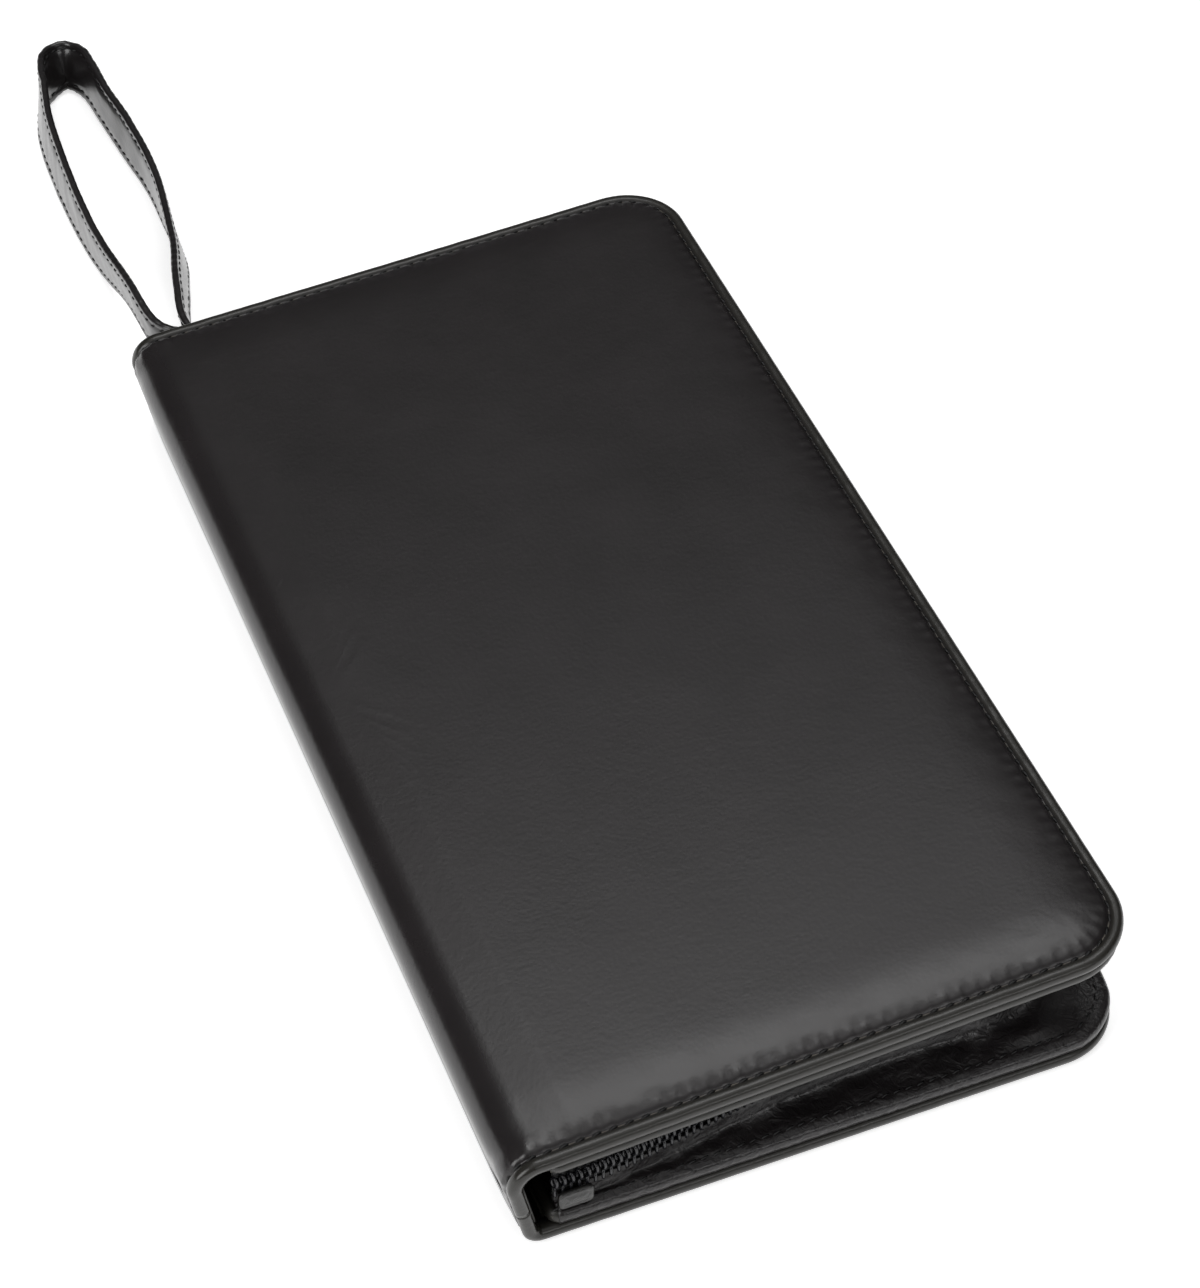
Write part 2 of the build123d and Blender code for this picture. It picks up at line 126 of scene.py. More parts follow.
class Layout:
    """A finish's nodes: each method adds one node and returns its output socket."""

    def __init__(self, tree: bpy.types.NodeTree) -> None:
        """Starts with the shader and with the piece's own coordinates, in metres."""
        self.tree = tree
        self.shader = add_node(tree, "ShaderNodeBsdfPrincipled")
        add_node(tree, "ShaderNodeOutputMaterial", {"Surface": self.shader.outputs[0]})
        self.place = add_node(tree, "ShaderNodeTexCoord").outputs["Object"]

    def feed(self, inputs: dict) -> None:
        """Sets the shader's own sockets."""
        fill(self.tree, self.shader, inputs)

    def noise(self, scale: float, detail: float, **more: float) -> bpy.types.NodeSocket:
        """Noise with this many cells in a metre."""
        given = {"Vector": self.place, "Scale": scale, "Detail": detail} | more
        return add_node(self.tree, "ShaderNodeTexNoise", given).outputs[0]

    def ribs(self, width_mm: float, distortion: float, way: str) -> bpy.types.NodeSocket:
        """Parallel ribs of this width."""
        given = {"Vector": self.place, "Scale": 1000 / (width_mm * 6.3), "Distortion": distortion}
        return add_node(self.tree, "ShaderNodeTexWave", given, bands_direction=way).outputs["Fac"]

    def mix(self, share: bpy.types.NodeSocket, first: object, second: object) -> bpy.types.NodeSocket:
        """Two colours mixed, each a socket or an sRGB hex string."""
        ends = [linear(end) if isinstance(end, str) else end for end in (first, second)]
        given = {0: share, 6: ends[0], 7: ends[1]}
        return add_node(self.tree, "ShaderNodeMix", given, data_type="RGBA").outputs[2]

    def spread(
        self, value: bpy.types.NodeSocket, low: float, high: float, **ends: float
    ) -> bpy.types.NodeSocket:
        """A value of 0 to 1, or between the given ends, stretched between two others."""
        given = {"Value": value, "To Min": low, "To Max": high}
        given |= {key.replace("_", " ").title(): end for key, end in ends.items()}
        return add_node(self.tree, "ShaderNodeMapRange", given).outputs[0]

    def combine(self, operation: str, *values: object) -> bpy.types.NodeSocket:
        """Numbers put together by one sum."""
        given = dict(enumerate(values))
        return add_node(self.tree, "ShaderNodeMath", given, operation=operation).outputs[0]

    def bump(
        self,
        height: bpy.types.NodeSocket,
        strength: float,
        depth_mm: float,
        below: Optional[bpy.types.NodeSocket] = None,
    ) -> bpy.types.NodeSocket:
        """A bumped normal, over another one where it is given."""
        given = {"Height": height, "Strength": strength, "Distance": depth_mm * MM}
        given |= {"Normal": below} if below else {}
        return add_node(self.tree, "ShaderNodeBump", given).outputs[0]

    def fact(self, name: str) -> bpy.types.NodeSocket:
        """A named value kept on the piece's points."""
        return add_node(self.tree, "ShaderNodeAttribute", attribute_name=name).outputs["Fac"]


class Finish:
    """A finish that can be put on a piece: subclasses lay out the nodes."""

    name: str

    def dress(self, on: Layout) -> None:
        """Lays out the finish's nodes and feeds the shader."""
        raise NotImplementedError

    def material(self) -> bpy.types.Material:
        """The finish's one material, made when it is first asked for."""
        made = bpy.data.materials.get(self.name)
        if made:
            return made
        made = bpy.data.materials.new(self.name)
        made.use_nodes = True
        made.node_tree.nodes.clear()
        self.dress(Layout(made.node_tree))
        return made


@dataclass(frozen=True)
class Leather(Finish):
    """Aniline-dyed, glazed cowhide: a fine pebbled grain under a thin wax gloss.

    The grain's pebbles break the reflections up, the wax gives the soft sheen along every bend, and the
    dye sits unevenly, so the black drifts between warm and cool.
    """

    name: str
    dye: str = "1c1a1a"
    warm_dye: str = "252122"
    # Painted highlight: the paler colour mixed onto the rim outside the seam, for the light that its top
    # catches.
    worn: str = "25241f"
    gloss_rough: float = 0.29
    polish_rough: float = 0.20
    uneven_rough: float = 0.12
    coat: float = 0.12
    grain_mm: float = 0.75
    grain_depth_mm: float = 0.035
    grains_in_pore: float = 2.6
    crease_mm: float = 3.5
    crease_depth_mm: float = 0.02
    mottle_mm: float = 18.0
    rim_mm: float = 2.8
    rim_fade_mm: float = 0.8
    # Share of the rim's painted highlight colour.
    rim_wear: float = 0.75

    def dress(self, on: Layout) -> None:
        """Grain and creases as bump, mottled dye, and a painted highlight: the rim outside its seam is
        painted paler for the light that its top catches.
        """
        cells = {"Vector": on.place, "Scale": 1000 / self.grain_mm, "Randomness": 1.0}
        pebbles = add_node(on.tree, "ShaderNodeTexVoronoi", cells, feature="SMOOTH_F1")
        pores = on.noise(1000 / (self.grain_mm * self.grains_in_pore), 4.0)
        fine = on.combine("ADD", pebbles.outputs["Distance"], pores)
        creases = on.noise(1000 / self.crease_mm, 3.0, Distortion=1.4)
        grain = on.bump(fine, 0.5, self.grain_depth_mm)
        mottle = on.noise(1000 / self.mottle_mm, 5.0, Roughness=0.62)
        inner, outer = self.rim_mm * MM, (self.rim_mm - self.rim_fade_mm) * MM
        # Painted highlight: the rim between the seam and the edge is mixed towards a paler colour, standing
        # in for its sheen.
        rim = on.spread(on.fact("seam_inset"), 0.0, self.rim_wear, from_min=inner, from_max=outer)
        rim_highlight_mask = on.combine("MULTIPLY", rim, on.fact("sewn"))
        gloss = on.spread(on.fact("polish"), self.gloss_rough, self.polish_rough)
        on.feed(
            {
                "Normal": on.bump(creases, 1.0, self.crease_depth_mm, grain),
                "Base Color": on.mix(rim_highlight_mask, on.mix(mottle, self.dye, self.warm_dye), self.worn),
                "Roughness": on.combine("MULTIPLY_ADD", mottle, self.uneven_rough, gloss),
                "IOR": 1.45,
                "Coat Weight": self.coat,
                "Coat Roughness": self.polish_rough,
            }
        )


@dataclass(frozen=True)
class Thread(Finish):
    """Bonded nylon thread: two plies twisted together, waxed, so each stitch has a small soft light."""

    name: str
    colour: str = "070607"
    # Painted shade in the hollows between the plies.
    hollow: str = "050505"
    ply_mm: float = 0.45

    def dress(self, on: Layout) -> None:
        """Slanting plies as bump, with painted shade darkening their hollows."""
        plies = on.ribs(self.ply_mm, 0.6, "DIAGONAL")
        # Painted shade: the colour follows the ply bump, darkest in its hollows.
        colour = on.mix(plies, self.hollow, self.colour)
        on.feed({"Base Color": colour, "Normal": on.bump(plies, 0.6, 0.05), "Roughness": 0.55})


@dataclass(frozen=True)
class WovenTape(Finish):
    """Polyester zip tape in a close twill: matt, with a faint rib across its width."""

    name: str
    colour: str = "0c0c0d"
    lint: str = "1a1a1c"
    rib_mm: float = 0.6

    def dress(self, on: Layout) -> None:
        """Two crossing sets of ribs, with lint in the hollows."""
        weave = on.combine("MULTIPLY", *(on.ribs(self.rib_mm, 0.3, way) for way in ("DIAGONAL", "Z")))
        colour = on.mix(on.noise(900.0, 3.0), self.colour, self.lint)
        on.feed({"Base Color": colour, "Normal": on.bump(weave, 0.8, 0.12)})
        on.feed({"Roughness": 0.8, "Sheen Weight": 0.2})


@dataclass(frozen=True)
class NylonCoil(Finish):
    """Extruded nylon monofilament, heat-set: smooth, with a small bright light on every turn."""

    name: str

    def dress(self, on: Layout) -> None:
        """Near-black nylon with scuffed, slightly paler patches."""
        rub = on.noise(420.0, 2.0)
        rough = on.spread(rub, 0.16, 0.34)
        on.feed({"Base Color": on.mix(rub, "0c0c0e", "26262a"), "Roughness": rough, "IOR": 1.53})


@dataclass(frozen=True)
class BlackNickel(Finish):
    """Black nickel over die-cast zinc: dark mirror, scuffed brighter on high spots, finely scratched."""

    name: str
    scratch_scale: tuple[float, float, float] = (300.0, 4000.0, 300.0)

    def dress(self, on: Layout) -> None:
        """Metal with cloudy wear and a long fine scratch pattern."""
        colour = on.mix(on.noise(260.0, 4.0), "3a3a3e", "6c6c70")
        drawn = add_node(on.tree, "ShaderNodeMapping", {"Vector": on.place, "Scale": self.scratch_scale})
        scratches = on.noise(1.0, 2.0, Vector=drawn.outputs[0])
        on.feed({"Base Color": colour, "Roughness": on.spread(scratches, 0.18, 0.38), "Metallic": 1.0})


@dataclass(frozen=True)
class ClearVinyl(Finish):
    """Calendered clear vinyl: almost colourless, with a faint ripple that bends its reflections."""

    name: str

    def dress(self, on: Layout) -> None:
        """A thin, see-through sheet with slow ripples."""
        ripple = on.bump(on.noise(60.0, 1.0), 0.2, 0.1)
        on.feed({"Base Color": linear("c4c8c8"), "Normal": ripple, "Roughness": 0.12, "Alpha": 0.1})


@dataclass(frozen=True)
class CoreBoard(Finish):
    """Grey pressed fibre board or foam: only its cut edges could ever be seen, fibrous and matt."""

    name: str
    colour: str = "6a655c"
    # Painted shade for the low spots of the fibre bump.
    pits: str = "3d3a35"

    def dress(self, on: Layout) -> None:
        """Fibres as a fine mottled colour and bump, the colour darkest where the bump is lowest: painted
        shade in its low spots.
        """
        fibre = on.noise(700.0, 6.0)
        colour = on.mix(fibre, self.pits, self.colour)
        on.feed({"Base Color": colour, "Normal": on.bump(fibre, 0.6, 0.1), "Roughness": 0.9})


@dataclass(frozen=True)
class StudioFloor(Finish):
    """A white sweep of paper, lit so evenly that it all but loses its shadows."""

    name: str = "paper_sweep"
    glow: float = 0.62

    def dress(self, on: Layout) -> None:
        """Matt white with a little light of its own."""
        on.feed({"Base Color": linear("f4f4f4"), "Roughness": 0.9})
        on.feed({"Emission Color": linear("ffffff"), "Emission Strength": self.glow})


class Finishes(Enum):
    """Every finish on the organizer."""

    OUTER = Leather("outer_cowhide")
    LINING = Leather(
        "lining_cowhide", dye="0d0c0c", gloss_rough=0.4, coat=0.15, grain_mm=0.9, crease_depth_mm=0.03
    )
    GUSSET = Leather(
        "gusset_kid",
        dye="0c0b0b",
        # The rim's painted highlight colour.
        worn="1c1c1a",
        gloss_rough=0.26,
        polish_rough=0.18,
        coat=0.2,
        grain_mm=0.6,
        crease_mm=2.4,
        crease_depth_mm=0.35,
    )
    STRAP = Leather(
        "strap_cowhide", dye="121111", gloss_rough=0.26, polish_rough=0.16, coat=0.5, grain_mm=0.6
    )
    THREAD = Thread("bonded_thread")
    TAPE = WovenTape("zip_tape_twill")
    COIL = NylonCoil("zip_coil_nylon")
    METAL = BlackNickel("black_nickel")
    VINYL = ClearVinyl("window_vinyl")
    BOARD = CoreBoard("fibre_board")
    FOAM = CoreBoard("foam_sheet", colour="8d8c86")
    FLOOR = StudioFloor()

    def put_on(self, piece: bpy.types.Object) -> None:
        """Gives a piece this finish and no other."""
        piece.data.materials.clear()
        piece.data.materials.append(self.value.material())


# ------------------------------------------------------------------ sizes of the case
@dataclass(frozen=True)
class CaseSizes:
    """The case's sizes in millimetres, read from the frame's nodes where they give them."""

    hinge_x: float
    fore_edge: float
    half_length: float
    outer_panel: float
    cover: float
    outer_leather: float = 1.1
    thickness: float = 25.0
    wedge: float = math.radians(3.2)
    corner_radius: float = 14.0
    lower_radius: float = 4.5
    upper_radius: float = 7.0
    zip_recess: float = 5.0
    zip_corner_recess: float = 11.0
    zip_corner_radius: float = 18.0
    zip_setback: float = 3.0

    @classmethod
    def from_frame(cls) -> "CaseSizes":
        """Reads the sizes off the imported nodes."""
        leather_high = np.array(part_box("back_cover_leather")[1]) / MM
        board_low = np.array(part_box("back_board")[0]) / MM
        lining_high = np.array(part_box("back_lining")[1]) / MM
        return cls(
            hinge_x=float(board_low[0]) - cls.outer_leather,
            fore_edge=float(leather_high[0]),
            half_length=float(leather_high[1]),
            outer_panel=float(leather_high[2]),
            cover=float(lining_high[2]),
        )

    @property
    def panel_width(self) -> float:
        """From the hinge crease to the fore edge."""
        return self.fore_edge - self.hinge_x

    @property
    def creases_apart(self) -> float:
        """The height between the two creases' centres."""
        return self.thickness - self.upper_radius - self.lower_radius

    @property
    def spine_lean(self) -> float:
        """How far the spine leans out at its top, in radians."""
        return math.asin((self.upper_radius - self.lower_radius) / self.creases_apart)

    @property
    def spine_flat(self) -> float:
        """The flat height of the spine between its two creases."""
        return self.creases_apart * math.cos(self.spine_lean)


class Side(Enum):
    """The two covers: +1 faces up and -1 down."""

    FRONT = 1
    BACK = -1

    @property
    def body(self) -> str:
        """The CAD body of this cover."""
        return f"{self.name.lower()}_cover"

    @property
    def zip_half(self) -> str:
        """What the zip's half on this cover is called."""
        return "upper" if self is Side.FRONT else "lower"


@dataclass(frozen=True)
class Fold:
    """One leather run from a cover, round its crease and onto the spine.

    A place on it is p, the distance along the leather from the crease, positive on the cover; y; and h,
    the height over the leather's outer face.
    """

    sizes: CaseSizes
    side: Side

    @property
    def tilt(self) -> float:
        """The cover's own slope."""
        return self.sizes.wedge if self.side is Side.FRONT else 0.0

    @property
    def radius(self) -> float:
        """The crease's radius at the outer face."""
        front = self.side is Side.FRONT
        return self.sizes.upper_radius if front else self.sizes.lower_radius

    @property
    def turn(self) -> float:
        """How far the leather turns round the crease."""
        lean = self.sizes.spine_lean
        front = self.side is Side.FRONT
        return math.pi / 2 + lean - self.sizes.wedge if front else math.pi / 2 - lean

    @property
    def centre_z(self) -> float:
        """The height of the crease's centre."""
        return self.sizes.thickness - self.radius if self.side is Side.FRONT else self.radius

    @property
    def arc(self) -> float:
        """The crease's length along the leather."""
        return self.radius * self.turn

    @property
    def spine_middle(self) -> float:
        """p at the middle of the spine."""
        return -self.arc - self.sizes.spine_flat / 2

    def place(self, p: np.ndarray, y: np.ndarray, h: np.ndarray) -> np.ndarray:
        """Turns places on the leather to places in the frame, in millimetres.

        Args:
            p: Distances from the crease.
            y: Distances along the case.
            h: Heights over the outer face.

        Returns:
            One row of x, y and z for each place.
        """
        p, y, h = np.broadcast_arrays(
            np.asarray(p, float), np.asarray(y, float), np.asarray(h, float)
        )
        sign = self.side.value
        angle = self.tilt + np.clip(-p / self.radius, 0.0, self.turn)
        out_x, out_z = -np.sin(angle), sign * np.cos(angle)
        run_x, run_z = -np.cos(angle), -sign * np.sin(angle)
        straight = np.where(p > 0, -p, np.where(p < -self.arc, -p - self.arc, 0.0))
        x = self.sizes.hinge_x + (self.radius + h) * out_x + straight * run_x
        z = self.centre_z + (self.radius + h) * out_z + straight * run_z
        return np.stack([x, y, z], axis=-1)


# ------------------------------------------------------------------ mesh making
def waves(x: np.ndarray, y: np.ndarray, length: float, seed: int, count: int = 7) -> np.ndarray:
    """A slow, seeded undulation.

    Args:
        x: First coordinates, in millimetres.
        y: Second coordinates.
        length: The typical wavelength.
        seed: The seed of its directions and phases.
        count: How many waves are added.

    Returns:
        Heights of about -1 to 1.
    """
    chance = np.random.default_rng(seed)
    total = np.zeros(np.broadcast(x, y).shape)
    for _ in range(count):
        heading = chance.uniform(0, 2 * math.pi)
        stretch = length * chance.uniform(0.6, 1.7)
        phase = chance.uniform(0, 2 * math.pi)
        total += np.sin(2 * math.pi * (x * math.cos(heading) + y * math.sin(heading)) / stretch + phase)
    return total / math.sqrt(count * 2)


def beat(along: np.ndarray, length: float, seed: int, drift: float = 0.0) -> np.ndarray:
    """The same undulation along one line, its second coordinate held at drift."""
    return waves(along, along * 0 + drift, length, seed)


def nearness(inset: float, middle: float, reach: float) -> float:
    """A weight of 1 at an inset of middle that dies away over reach."""
    return math.exp(-(((inset - middle) / reach) ** 2))


def ease(share: np.ndarray) -> np.ndarray:
    """A share of 0 to 1, held to that range and eased at both ends."""
    held = np.clip(share, 0, 1)
    return held * held * (3 - 2 * held)


def arc_points(
    centre: tuple[float, float], radius: float, start: float, sweep: float, count: int
) -> np.ndarray:
    """Points evenly spaced on an arc, both ends included."""
    angles = start + np.linspace(0, sweep, count)
    return np.stack([centre[0] + radius * np.cos(angles), centre[1] + radius * np.sin(angles)], axis=-1)


def run_lengths(points: np.ndarray) -> np.ndarray:
    """Each point's distance from the first along the line."""
    return np.concatenate([[0.0], np.cumsum(np.linalg.norm(np.diff(points, axis=0), axis=1))])


def runs(*stretches: np.ndarray) -> np.ndarray:
    """Joins stretches of points, dropping the point that each shares with the one before."""
    return np.concatenate([stretches[0]] + [s[1:] for s in stretches[1:]])


def line(a: Sequence[float], b: Sequence[float], count: int) -> np.ndarray:
    """Points evenly spaced on a straight line, both ends included."""
    return np.linspace(np.asarray(a, float), np.asarray(b, float), count)


@dataclass(frozen=True)
class CoverPlan:
    """The open outline of one leather run: near edge, fore edge and far edge, ending on the spine."""

    spine_end: float
    width: float
    half_length: float
    corner_radius: float
    step: float = 0.775
    arc_count: int = 28
    smallest_radius: float = 2.5
    closed: bool = False

    def deepest(self) -> float:
        """The inset at which the two long edges meet."""
        return self.half_length

    def ring(self, inset: float) -> np.ndarray:
        """The outline pulled in by inset.

        Args:
            inset: The distance from the edge.

        Returns:
            One row of p and y for each point, the same count for every inset.
        """
        radius = max(self.corner_radius - inset, self.smallest_radius)
        radius = min(radius, self.half_length - inset)
        x_corner = max(self.width - inset - radius, 0.0)
        y_edge = self.half_length - inset
        y_corner = y_edge - radius
        spine_count = int(-self.spine_end / self.step) + 1
        leg_count = int(self.width / self.step)
        fore_count = int(2 * self.half_length / self.step)
        near = runs(
            line((self.spine_end, -y_edge), (0, -y_edge), spine_count),
            line((0, -y_edge), (x_corner, -y_edge), leg_count),
            arc_points((x_corner, -y_corner), radius, -math.pi / 2, math.pi / 2, self.arc_count),
        )
        far = near[::-1] * np.array([1, -1])
        return runs(near, line(near[-1], far[0], fore_count), far)


@dataclass(frozen=True)
class SheetPlan:
    """A closed outline: a rectangle with its own radius at each end."""

    x_low: float
    x_high: float
    y_low: float
    y_high: float
    radius_low: float
    radius_high: float
    step: float = 1.5
    arc_count: int = 10
    closed: bool = True

    def deepest(self) -> float:
        """The inset at which the outline closes on its middle line."""
        return min(self.x_high - self.x_low, self.y_high - self.y_low) / 2

    def ring(self, inset: float) -> np.ndarray:
        """The outline pulled in by inset, anticlockwise, the same count for every inset."""
        x0, x1 = self.x_low + inset, self.x_high - inset
        y0, y1 = self.y_low + inset, self.y_high - inset
        room = max(self.deepest() - inset, 0.0)
        low = min(max(self.radius_low - inset, 0.3), room)
        high = min(max(self.radius_high - inset, 0.3), room)
        across = max(int((self.x_high - self.x_low) / self.step), 2)
        along = max(int((self.y_high - self.y_low) / self.step), 2)
        quarter = math.pi / 2
        corners = [
            arc_points((x1 - high, y0 + high), high, -quarter, quarter, self.arc_count),
            arc_points((x1 - high, y1 - high), high, 0, quarter, self.arc_count),
            arc_points((x0 + low, y1 - low), low, quarter, quarter, self.arc_count),
            arc_points((x0 + low, y0 + low), low, 2 * quarter, quarter, self.arc_count),
        ]
        sides = [across, along, across, along]
        turned = [corners[3]] + corners[:3]
        pieces = []
        for before, count, corner in zip(turned, sides, corners):
            pieces.append(line(before[-1], corner[0], count + 1)[1:-1])
            pieces.append(corner)
        return np.concatenate(pieces)


Plan = CoverPlan | SheetPlan


def make_mesh(
    name: str, points: np.ndarray, faces: list, facts: dict[str, np.ndarray]
) -> bpy.types.Object:
    """Makes a piece from points in millimetres, merges its doubles and turns its faces outwards.

    Args:
        name: The piece's name.
        points: One row for each point.
        faces: Tuples of point numbers.
        facts: Named values, one for each point, kept on the mesh.

    Returns:
        The new object, in the scene.
    """
    mesh = bpy.data.meshes.new(name)
    mesh.from_pydata((points * MM).tolist(), [], faces)
    for key, values in facts.items():
        layer = mesh.attributes.new(key, "FLOAT", "POINT")
        layer.data.foreach_set("value", np.asarray(values, np.float32))
    work = bmesh.new()
    work.from_mesh(mesh)
    bmesh.ops.remove_doubles(work, verts=work.verts, dist=SAME_POINT_M)
    bmesh.ops.dissolve_degenerate(work, edges=work.edges, dist=SLIVER_M)
    bmesh.ops.recalc_face_normals(work, faces=work.faces)
    work.to_mesh(mesh)
    work.free()
    mesh.shade_smooth()
    piece = bpy.data.objects.new(name, mesh)
    bpy.context.scene.collection.objects.link(piece)
    return piece


def grid_faces(rows: int, count: int, around: bool, closed_rows: bool) -> list:
    """Faces of a grid of points.

    Args:
        rows: How many rings there are.
        count: How many points each ring has.
        around: Whether a ring's last point joins its first.
        closed_rows: Whether the last ring joins the first.

    Returns:
        Tuples of four point numbers.
    """
    faces = []
    for r in range(rows if closed_rows else rows - 1):
        following = (r + 1) % rows
        for i in range(count if around else count - 1):
            j = (i + 1) % count
            faces.append((r * count + i, r * count + j, following * count + j, following * count + i))
    return faces


def end_faces(rows: int, count: int) -> list:
    """Faces that close both ends of a shell whose second half of rows runs back under its first."""
    faces = []
    for end in (0, count - 1):
        for r in range(rows // 2 - 1):
            across = rows - 1 - r
            faces.append(
                (r * count + end, (r + 1) * count + end, (across - 1) * count + end, across * count + end)
            )
    return faces


def caps(rows: int, count: int) -> list:
    """One flat face over the first ring and one over the last."""
    return [tuple(range(count)), tuple(range(rows * count - count, rows * count))]


def offset_profile(profile: np.ndarray, thickness: float) -> np.ndarray:
    """The same profile, moved to its right-hand side by a thickness."""
    ahead = np.gradient(profile, axis=0)
    ahead /= np.linalg.norm(ahead, axis=1, keepdims=True) + TINY
    return profile + thickness * np.stack([ahead[:, 1], -ahead[:, 0]], axis=-1)


@dataclass
class RingMesh:
    """A piece whose section runs inwards over an outline: leather covers, panels and pocket leaves."""

    name: str
    plan: Plan
    profile: np.ndarray
    place: Callable[[np.ndarray, np.ndarray, np.ndarray], np.ndarray]
    relief: Optional[Relief] = None
    wall: float = 0.0
    hollow: bool = False
    capped: bool = False
    sewn: bool = True
    seam_inset: float = 2.8

    def run_length(self) -> np.ndarray:
        """Distance along the outline at the seam, for each point of a ring."""
        return run_lengths(self.plan.ring(self.seam_inset))

    def build(self) -> bpy.types.Object:
        """Sweeps the profile over the outline and closes the piece.

        Returns:
            The piece, with its inset, its polish and whether it is sewn kept on its points.
        """
        along = self.run_length()
        rows = [self.surface_row(d, h, along) for d, h in self.profile]
        insets = [d for d, _ in self.profile]
        if self.wall:
            inside = offset_profile(self.profile, self.wall)
            rows += [self.surface_row(max(d, 0.05), h, along) for d, h in inside[::-1]]
            insets += [max(d, 0.0) for d, _ in inside[::-1]]
        points = np.concatenate([r[0] for r in rows])
        count = len(along)
        faces = grid_faces(len(rows), count, self.plan.closed, self.hollow)
        if self.wall:
            middle = len(self.profile) - 1
            faces = [face for face in faces if face[0] // count != middle]
        if self.wall and not self.plan.closed:
            faces += end_faces(len(rows), count)
        if self.capped:
            faces += caps(len(rows), count)
        facts = {
            "seam_inset": np.repeat(np.array(insets) * MM, count),
            "polish": np.concatenate([r[1] for r in rows]),
            "sewn": np.full(len(points), float(self.sewn)),
        }
        return make_mesh(self.name, points, faces, facts)

    def surface_row(self, inset: float, height: float, along: np.ndarray) -> tuple[np.ndarray, np.ndarray]:
        """One ring's points in the frame, and how polished each is."""
        deep = inset >= self.plan.deepest() - 1e-6
        ring = self.plan.ring(min(inset, self.plan.deepest()))
        if deep and not self.plan.closed:
            ring = ring * np.array([1.0, 0.0])
        lift = self.relief(ring[:, 0], ring[:, 1], along, inset) if self.relief else 0.0
        points = self.place(ring[:, 0], ring[:, 1], height + lift)
        polish = np.clip(-ring[:, 0] / 3.0 + 0.4, 0, 1) if not self.plan.closed else np.zeros(len(ring))
        return points, polish


